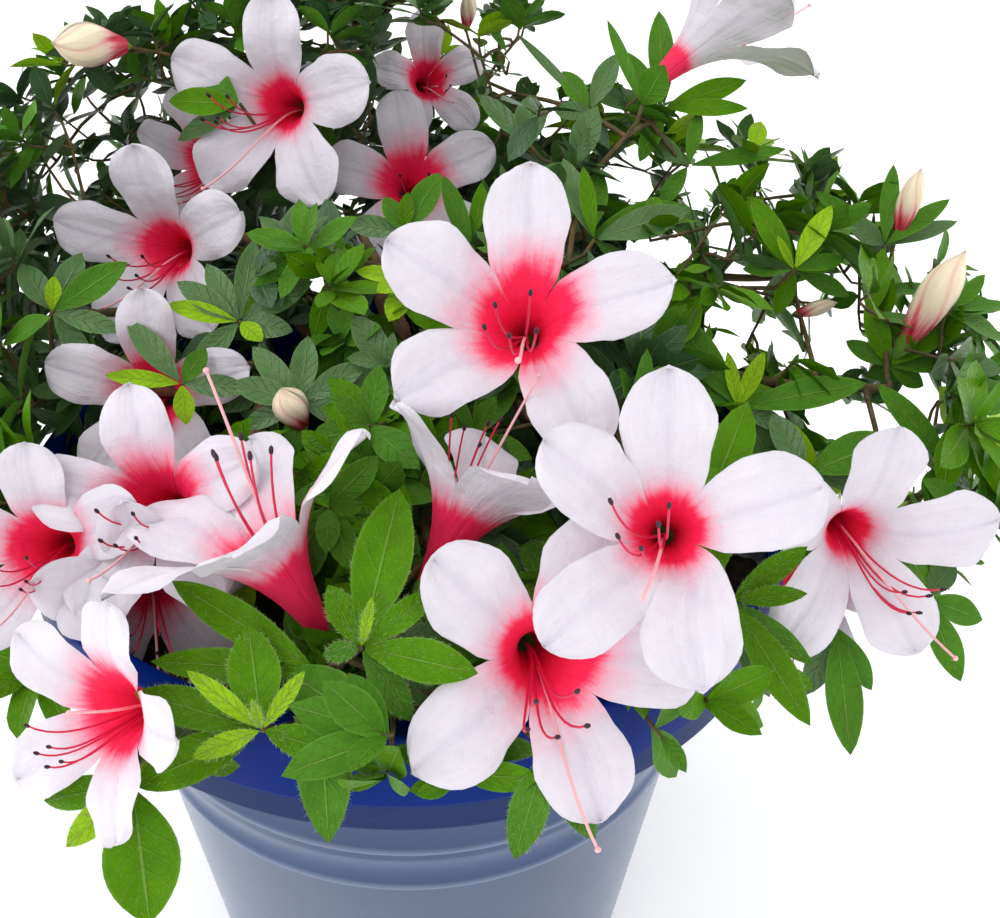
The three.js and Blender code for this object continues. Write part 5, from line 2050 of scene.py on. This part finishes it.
    def shown_spray(self, shown: ShownSpray, nodes: list[Node]) -> None:
        """Add a spray that the photograph shows, leaf by leaf.

        Args:
            shown: The spray.
            nodes: The places that its twig can grow from.
        """
        at = EYE.seen(shown.across, shown.down, shown.away)
        tips = [EYE.seen(leaf.across, leaf.down, shown.away + leaf.beyond) for leaf in shown.leaves]
        lean = sum(unit(tip - at) for tip in tips) / len(tips)
        toward = unit(np.array(EYE.place) - at)
        axis = unit(lean + toward * 0.8 + UP * 0.4)
        random = Random(f"{shown.across} {shown.down}")
        self.grow_twig(nodes, at, axis, 0.85)
        rows = self.shown_rows
        for leaf, tip in zip(shown.leaves, tips):
            length = float(np.linalg.norm(tip - at))
            way = (tip - at) / length
            points, uvs = self.blade(length * 0.96, leaf.breadth / 2, 0.3, 0.06, 0.05, rows)
            over = unit(toward + UP * 0.25 + axis * 0.2 - way * 0.2)
            place = Place.at(at + way * length * 0.04, over - way * float(over @ way), way)
            world = place.world(points)
            self.keep([(leaf.tone, world, uvs, rows)])
            if shown.away < self.near_away:
                self.add_hairs(world[:-1].reshape(rows, self.columns, 3), place.axis, random)

    def add_hairs(self, rows: Points, over: Points, random: Random) -> None:
        """Add a leaf's pale hairs: a fringe along both edges, and some that lie on its face.

        Args:
            rows: The leaf's rows of points from foot to tip.
            over: The side that faces the light.
            random: What their places are drawn from.
        """
        for index in range(self.hairs_each):
            low = random.uniform(0.8, len(rows) - 1.1)
            first = int(low)
            share = low - first
            row = rows[first] * (1 - share) + rows[first + 1] * share
            ahead = unit(rows[first + 1][2] - rows[first][2])
            side = random.choice((-1, 1))
            out = unit(row[-1] - row[0]) * side
            fringe = index % 2 == 0
            place = (2 + 1.96 * side) if fringe else random.uniform(0.3, 3.7)
            column = min(3, int(place))
            at = row[column] + (row[column + 1] - row[column]) * (place - column)
            way = unit(out * (0.9 if fringe else 0.25) + ahead * 0.6 + over * (0.1 if fringe else 0.12))
            spot = Place.at(at, way, over)
            length = self.hair_length * random.uniform(0.7, 1.3)
            thick = self.hair_radius
            local = [(thick * math.cos(turn), thick * math.sin(turn), 0.0) for turn in (0.0, 2.1, 4.2)]
            points = spot.world(np.array([*local, (0.0, 0.0, length)]))
            self.hairs.add(points, np.zeros((4, 2)), [(0, 1, 3), (1, 2, 3), (2, 0, 3), (2, 1, 0)])

    def whorl(
        self, tip: Points, axis: Points, count: int, length: float, tone: Tone, random: Random, rows: int
    ) -> list[Leaf]:
        """Shape the leaves round a twig's tip, the small ones inmost.

        Args:
            tip: The twig's tip.
            axis: The twig's direction there.
            count: How many leaves.
            length: The longest leaf's length.
            tone: Their green.
            random: What their places are drawn from.
            rows: Rows of points along each.

        Returns:
            The leaves that fit.
        """
        place = Place.at(tip, axis, sideways(axis))
        turn = random.uniform(0, 360)
        leaves = []
        for index in range(count):
            inmost = index / max(1, count - 1)
            turn += self.golden + random.uniform(-14, 14)
            rise = math.radians(lerp(12, 62, inmost**1.4) + random.uniform(-10, 10))
            size = length * lerp(1.0, 0.55, inmost) * random.uniform(0.82, 1.08)
            foot = tip - axis * lerp(3.2, 0.2, inmost)
            for shrink, veer in self.second_tries:
                bearing = math.radians(turn + veer)
                way = place.first * math.cos(bearing) + place.second * math.sin(bearing)
                along = unit(way * math.cos(rise) + axis * math.sin(rise) - UP * 0.06)
                over = unit(axis * math.cos(rise) - way * math.sin(rise) + UP * 0.15)
                found = self.fit_leaf(foot, along, over, size * shrink, tone, random, rows)
                leaves += found
                if found:
                    break
        return leaves

    def tone_at(self, at: Points, depth: float, random: Random) -> Tone:
        """Deal out a green by where the spray stands.

        Args:
            at: Where it stands.
            depth: How far inside the crown it is.
            random: What the green is drawn from.

        Returns:
            The green.
        """
        front = clamp((15 - at[1]) / 75, 0, 1)
        right = clamp((at[0] - 20) / 80, 0, 1)
        if depth > 22:
            return random.choices(list(Tone), (0.6 * (1 - right), 0.4, 0.5 * right, 0.1 * right, 0))[0]
        weights = {
            Tone.DEEP: 0.34 * (1 - front) * (1 - right),
            Tone.DARK: 0.36 * (1 - front) * (1 - right * 0.5),
            Tone.MIDDLE: 0.3 + 0.35 * right,
            Tone.BRIGHT: 0.1 + 0.6 * front + 0.35 * right,
            Tone.YOUNG: 0.07 + 0.15 * right,
        }
        return random.choices(list(weights), list(weights.values()))[0]

    def tips(self) -> list[Node]:
        """Scatter the twigs' tips through the crown, evenly and closer near its skin.

        Returns:
            Each tip with its depth inside the crown.
        """
        random = np.random.default_rng(self.seed)
        spots = random.uniform(self.low_corner, self.high_corner, (self.spot_count, 3))
        depths = self.crown.depth(spots)
        keep = (depths > 2) & (depths < self.deepest) & self.crown.off_pot(spots)
        spots, depths = spots[keep], depths[keep]
        cells: dict[tuple[int, ...], list[Points]] = {}
        found = []
        limbs = [*self.tree.limbs[7:], *(mass.stem for mass in self.tree.masses)]
        feet = np.concatenate([limb.bend.points[2::2] for limb in limbs])
        ways = random.normal(size=feet.shape) + UP * 0.8
        spurs = feet + ways / np.linalg.norm(ways, axis=1)[:, None] * self.spur
        spurs = spurs[self.crown.off_pot(spurs)]
        spots = np.vstack([spurs, spots])
        depths = np.concatenate([self.crown.depth(spurs), depths])
        for spot, depth in zip(spots, depths):
            spacing = self.near_spacing if depth < self.outer_depth else self.inner_spacing
            spacing *= 1 + self.open_right * smooth(float(spot[0]), 20, 90)
            cell = tuple(int(value // self.cell) for value in spot)
            near = [
                other
                for x in (-1, 0, 1)
                for y in (-1, 0, 1)
                for z in (-1, 0, 1)
                for other in cells.get((cell[0] + x, cell[1] + y, cell[2] + z), ())
            ]
            if near and float(np.min(np.linalg.norm(np.array(near) - spot, axis=1))) < spacing:
                continue
            cells.setdefault(cell, []).append(spot)
            found.append((spot, float(depth)))
        return found

    def grow_twig(
        self, nodes: list[Node], tip: Points, axis: Points, thick: float, needed: bool = True
    ) -> Bend | None:
        """Grow a twig from the nearest wood to a tip, past the flowers, and add its own nodes.

        Args:
            nodes: Places on the mass's wood, each with its run from the stem's foot.
            tip: Where it ends.
            axis: Its direction there.
            thick: Its radius at its foot.
            needed: Whether it is grown even where no way past the flowers is found.

        Returns:
            The twig's curve, or nothing.
        """
        places = np.array([place for place, _ in nodes])
        from_stem = np.array([run for _, run in nodes])
        order = np.argsort(np.linalg.norm(places - tip, axis=1) - 0.25 * from_stem)
        found, fewest = None, 0
        for best in order[: self.node_tries]:
            start, run = nodes[best]
            leave = unit(unit(tip - start) + axis * 0.2)
            bend = Bend.between(start, leave, tip, axis, self.twig_steps)
            hits = int(self.blossom.blocked(bend.points[1:-1]).sum()) * self.flower_cost
            hits += int(self.in_gaps(bend.points).sum())
            if found is None or hits < fewest:
                found, fewest = (bend, run), hits
            if hits == 0:
                break
        if fewest >= self.flower_cost and not needed:
            return None
        bend, run = found
        line = bend.points[::2]
        tube(self.wood.twigs, line, np.linspace(thick, thick * 0.62, len(line)), self.wood.twig_sides)
        length = bend.length()
        nodes.extend((bend.points[step], run + length * step / self.twig_steps) for step in (3, 6))
        return bend

    def grow_stems(self) -> list[list[Node]]:
        """Grow each mass's stem, up to the first flower in its way.

        Returns:
            The places on each stem that twigs can grow from.
        """
        nodes = []
        for mass in self.tree.masses:
            bend = mass.stem.bend
            hits = np.flatnonzero(self.blossom.blocked(bend.points))
            last = max(5, int(hits[0])) if len(hits) else len(bend.points)
            root = bend.points[0] - bend.tangents()[0] * self.stem_root
            tube(self.wood.twigs, np.vstack([root, bend.points[:last]]), np.linspace(1.7, 1.15, last + 1), 8)
            pace = bend.length()
            steps = len(bend.points) - 1
            nodes.append([(bend.points[step], pace * step / steps) for step in range(4, last, 2)])
        return nodes

    def grow_shown(self, nodes: list[Node], random: Random) -> None:
        """Grow the shown sprays, every flower's stalk with a whorl of leaves, and the shown buds' stalks.

        Args:
            nodes: The places that twigs can grow from.
            random: What the whorls are drawn from.
        """
        for shown in SHOWN_SPRAYS:
            self.shown_spray(shown, nodes)
        for flower in self.blossom.flowers:
            axis = flower.place.axis
            end = flower.foot()
            joint = end - axis * self.stalk_length
            self.grow_twig(nodes, joint, axis, self.stalk_radius)
            tube(self.wood.twigs, np.stack([joint, joint + axis * 5, end]), (0.55, 0.6, 0.6), 6)
            self.keep(self.whorl(joint + axis, axis, 7, 25, self.tone_at(end, 5, random), random, 8))
        for bud in SHOWN_BUDS:
            foot, axis = bud.stand()
            self.grow_twig(nodes, foot - axis * 0.5, axis, self.stalk_radius)

    def grow_by_rule(self, spot: Points, depth: float, nodes: list[Node], random: Random) -> None:
        """Grow one twig with its leaves, and now and then a bud, where there is room.

        Args:
            spot: The twig's tip.
            depth: How far inside the crown it is.
            nodes: The places that it can grow from.
            random: What its form is drawn from.
        """
        lean = np.array([random.uniform(-0.35, 0.35) for _ in range(3)])
        axis = unit(unit(spot - self.crown.heart()) * 0.75 + UP * 0.25 + lean)
        if not self.blossom.clear(np.stack([spot, spot - axis * 4])) or self.before_shown(spot):
            return
        tone = self.tone_at(spot, depth, random)
        slim = smooth(float(spot[0]), 10, 80)
        front = smooth(-float(spot[1]), -20, 90)
        length = lerp(*self.lengths, max(slim, front)) * random.uniform(0.85, 1.12)
        rows = self.outer_rows if depth < self.outer_depth else self.inner_rows
        leaves = self.whorl(spot, axis, random.randint(6, 9), length, tone, random, rows)
        if len(leaves) < self.fewest:
            return
        bend = self.grow_twig(nodes, spot, axis, self.twig_radius, needed=False)
        if bend is None:
            return
        self.keep(leaves)
        for step in (5, 7, 8):
            way = bend.tangents()[step]
            side = unit(np.cross(way, np.array([random.uniform(-1, 1) for _ in range(3)])))
            ways = unit(side + way * 0.7), unit(way - side * 0.5 + UP * 0.4)
            rows = self.inner_rows
            self.keep(self.fit_leaf(bend.points[step], *ways, length * 0.8, tone, random, rows))
        if depth < 8 and random.random() < self.bud_share and not self.blossom.blocks_view(spot):
            self.blossom.bud(spot + axis * 1.5, axis, random.uniform(9, 14), random.random(), 0.9)

    def grow(self) -> None:
        """Grow every mass's twigs and leaves, and the stalks of its flowers."""
        random = Random(self.seed)
        middles = np.array([mass.middle for mass in self.tree.masses])

        def owner(spot: Points) -> int:
            """Return which mass a place belongs to."""
            return int(np.argmin(np.linalg.norm(middles - spot, axis=1)))

        nodes = self.grow_stems()
        shared = [node for own in nodes for node in own]
        before = len(shared)
        self.grow_shown(shared, random)
        for node in shared[before:]:
            nodes[owner(node[0])].append(node)

        def from_middle(tip: Node) -> float:
            """Return how far a tip is from the middle of its mass."""
            return float(np.linalg.norm(middles[owner(tip[0])] - tip[0]))

        for spot, depth in sorted(self.tips(), key=from_middle):
            self.grow_by_rule(spot, depth, nodes[owner(spot)], random)

    def build(self, nodes: Sequence[str]) -> None:
        """Make one piece for each green, every one in place of all the masses, and the hairs.

        Args:
            nodes: The masses' names.
        """
        for tone, stock in self.stocks.items():
            finish = LeafFinish(tone).make()
            stock.build(f"leaves_{tone.name.lower()}", finish, "foliage", *nodes)
        hair = PlainFinish("leaf_hair", self.hair_colour, 0.5)
        self.hairs.build("leaf_hairs", hair.make(), "foliage")
        LOG.info("%d leaves", self.leaf_count)


# Pot and soil


@dataclass
class Pot:
    """The moulded pot: a tapered wall with two raised rings under a deep collar."""

    rim_radius: float = 100.0
    height: float = 175.0
    foot_radius: float = 68.0
    slope: float = 0.1186
    wall: float = 3.0
    floor: float = 4.0
    collar_bottom: float = 143.0
    ring_top: float = 113.0
    lip_top: float = 152.0
    collar_wall: float = 5.0
    flare: float = 1.5
    ring_step: float = 15.8
    ring_proud: float = 0.9
    ring_half: float = 1.2
    rounding: float = 1.8
    foot_rounding: float = 2.4
    section_length: float = 480.0
    sides: int = 160

    def wall_radius(self, height: float) -> float:
        """Return the wall's outer radius at a height."""
        return self.foot_radius + self.slope * height

    def profile(self) -> list[tuple[float, float]]:
        """Lay out the pot's section, with every edge rounded.

        Returns:
            Radii and heights from the middle of the underside to the middle of the floor.
        """
        edge, rim, collar = self.foot_rounding, self.rim_radius, self.collar_bottom
        section = [(0.0, 0.0), (self.foot_radius - edge, 0.0)]
        outer = (self.foot_radius, 0.0)
        section += self.rounded((self.foot_radius - edge, 0.0), (self.wall_radius(edge), edge), outer)
        for middle in (self.ring_top - self.ring_step, self.ring_top):
            for step in range(-4, 5):
                height = middle + self.ring_half * step / 4
                proud = self.ring_proud * math.cos(step / 4 * math.pi / 2)
                section.append((self.wall_radius(height) + proud, height))
        top = rim + self.flare
        section += [
            (self.wall_radius(collar - 0.6), collar - 0.6),
            (self.wall_radius(collar) + 0.6, collar),
            (rim - 2.4, collar),
            (rim - 1.1, collar + 0.4),
            (rim - 0.7, collar + 1.4),
            (rim - 0.6, self.lip_top - 0.5),
            (rim - 0.3, self.lip_top - 0.1),
            (rim + 0.3, self.lip_top + 0.4),
            (rim + 0.5, self.lip_top + 1.2),
            (top - 0.1, self.height - 3.0),
        ]
        edge = self.rounding
        section += self.rounded((top, self.height - edge), (top - edge, self.height), (top, self.height))
        inner = top - self.collar_wall
        corner = (inner, self.height)
        section += self.rounded((inner + edge, self.height), (inner, self.height - edge), corner)
        section += [
            (rim - self.collar_wall, collar + self.wall + 1),
            (rim - self.collar_wall - 1, collar + self.wall),
            (self.wall_radius(collar) - self.wall, collar + self.wall - 1),
            (self.wall_radius(self.floor) - self.wall, self.floor),
            (0.0, self.floor),
        ]
        return section

    def rounded(
        self, start: tuple[float, float], end: tuple[float, float], corner: tuple[float, float]
    ) -> list[tuple[float, float]]:
        """Round a corner.

        Args:
            start: Where the rounding starts.
            end: Where it ends.
            corner: The sharp corner.

        Returns:
            Points round the corner.
        """
        found = []
        for step in range(6):
            share = step / 5
            near, mid, far = (1 - share) ** 2, 2 * share * (1 - share), share**2
            found.append(tuple(near * a + mid * b + far * c for a, b, c in zip(start, corner, end)))
        return found

    def build(self) -> None:
        """Make the pot."""
        section = self.profile()
        turns = turns_round(self.sides)
        stock = Stock()
        points, uvs = [], []
        run = 0.0
        last = section[0]
        for radius, height in section:
            run += math.hypot(radius - last[0], height - last[1])
            last = (radius, height)
            level = np.full(self.sides, height)
            points.append(np.stack([radius * np.cos(turns), radius * np.sin(turns), level], axis=1))
            along = np.full(self.sides, run / self.section_length)
            uvs.append(np.stack([turns / (2 * math.pi), along], axis=1))
        faces = grid_faces(len(section), self.sides, ringed=True)
        stock.add(np.concatenate(points), np.concatenate(uvs), faces)
        made = stock.build("pot_shell", PotFinish().make(), "pot_plastic", "pot")
        made.data.validate()


@dataclass
class Soil:
    """Peat filling the pot, with crumbs on its top."""

    top: float = 156.4
    radius: float = 94.4
    highest: float = 159.0
    turned_down: float = 2.0
    lump_count: int = 10
    lump_pace: float = 0.09
    lump_height: float = 0.5
    rings: int = 46
    sides: int = 120
    crumbs: int = 900
    crumb_sizes: tuple[float, float] = (0.6, 2.2)
    seed: int = 9

    def build(self) -> None:
        """Make the bed and its crumbs."""
        random = np.random.default_rng(self.seed)
        self.build_bed(random)
        self.build_crumbs(random)

    def build_bed(self, random: np.random.Generator) -> None:
        """Make the bed, uneven in slow lumps and fine grains.

        Args:
            random: What the lumps are drawn from.
        """
        bed = Stock()
        lumps = random.normal(size=(self.lump_count, 3))
        points, uvs = [], []
        turns = turns_round(self.sides)
        pace = self.lump_pace
        for ring in range(self.rings + 1):
            radius = self.radius * ring / self.rings
            x, y = radius * np.cos(turns), radius * np.sin(turns)
            swell = sum(np.sin(x * a * pace + c) * np.cos(y * b * pace + c) for a, b, c in lumps)
            z = self.top + self.lump_height * swell
            z = z + random.uniform(-0.25, 0.25, self.sides) * (radius > 0)
            z = np.minimum(z, self.highest) - self.turned_down * (ring == self.rings)
            points.append(np.stack([x, y, z], axis=1))
            uvs.append(np.stack([turns / ROUND, np.full(self.sides, ring / self.rings)], axis=1))
        faces = grid_faces(self.rings + 1, self.sides, ringed=True)
        bed.add(np.concatenate(points), np.concatenate(uvs), faces)
        bed.build("soil_bed", SoilFinish("peat", 260.0).make(), "soil", "soil")

    def build_crumbs(self, random: np.random.Generator) -> None:
        """Make the crumbs, each with eight uneven faces.

        Args:
            random: What their places and forms are drawn from.
        """
        crumbs = Stock()
        corners = np.vstack([(end, -end) for end in np.eye(3)]).reshape(-1, 3)
        faces = [(0, 2, 4), (2, 1, 4), (1, 3, 4), (3, 0, 4), (2, 0, 5), (1, 2, 5), (3, 1, 5), (0, 3, 5)]
        for _ in range(self.crumbs):
            out = self.radius * 0.97 * math.sqrt(random.random())
            turn = random.uniform(0, 2 * math.pi)
            size = random.uniform(*self.crumb_sizes)
            middle = np.array([out * math.cos(turn), out * math.sin(turn), self.top + size * 0.3])
            shape = corners * random.uniform(0.6, 1.2, (6, 3)) * size
            crumbs.add(middle + shape, np.full((6, 2), 0.5), faces)
        crumbs.build("soil_crumbs", SoilFinish("peat_crumb", 700.0).make(), "soil")


# Studio


@dataclass
class Studio:
    """A plain pale floor and soft light from all round, brightest from the upper left."""

    floor_size: float = 6.0
    world_light: float = 0.95
    target: Spot = (0.0, 0.02, 0.18)
    lamps: tuple[tuple[str, Spot, float, float], ...] = (
        ("key", (-0.9, -0.25, 1.6), 7.0, 0.8),
        ("fill", (-0.4, -1.3, 0.9), 3.8, 1.2),
        ("back", (0.2, 1.4, 1.3), 3.8, 1.4),
        ("left", (-1.1, 0.2, 0.26), 4.5, 0.6),
        ("right", (1.1, 0.2, 0.26), 3.15, 0.6),
    )

    def area(self, name: str, place: Spot, power: float, size: float) -> None:
        """Add a soft lamp that looks at the plant.

        Args:
            name: The lamp's name.
            place: Where it stands, in metres.
            power: Its power in watts.
            size: Its width in metres.
        """
        data = bpy.data.lights.new(name, "AREA")
        data.energy = power
        data.size = size
        lamp = bpy.data.objects.new(name, data)
        lamp.location = place
        way = Vector(self.target) - Vector(place)
        lamp.rotation_euler = way.to_track_quat("-Z", "Y").to_euler()
        bpy.context.scene.collection.objects.link(lamp)

    def build(self) -> None:
        """Make the floor and the lights."""
        half = self.floor_size / 2
        mesh = bpy.data.meshes.new("studio_floor")
        corners = [(-half, -half, 0), (half, -half, 0), (half, half, 0), (-half, half, 0)]
        mesh.from_pydata(corners, [], [(0, 1, 2, 3)])
        mesh.materials.append(FloorFinish().make())
        floor = bpy.data.objects.new("studio_floor", mesh)
        bpy.context.scene.collection.objects.link(floor)
        for lamp in self.lamps:
            self.area(*lamp)
        world = bpy.data.worlds.new("studio")
        bpy.context.scene.world = world
        world.use_nodes = True
        sky = world.node_tree.nodes["Background"]
        sky.inputs["Color"].default_value = (1.0, 1.0, 1.0, 1.0)
        sky.inputs["Strength"].default_value = self.world_light
        bpy.context.scene.view_settings.view_transform = "Standard"


def main() -> None:
    """Build the azalea, its pot and the studio in order."""
    logging.basicConfig(level=logging.INFO, format="%(message)s")
    EYE.make_camera()
    Studio().build()
    Pot().build()
    Soil().build()
    tree = LimbTree()
    tree.grow()
    wood = Wood(tree)
    blossom = Blossom(CROWN)
    blossom.plan()
    leaves = Leaves(tree, wood, blossom, CROWN)
    leaves.grow()
    wood.build()
    leaves.build([mass.name for mass in tree.masses])
    blossom.build()


if __name__ == "__main__":
    main()
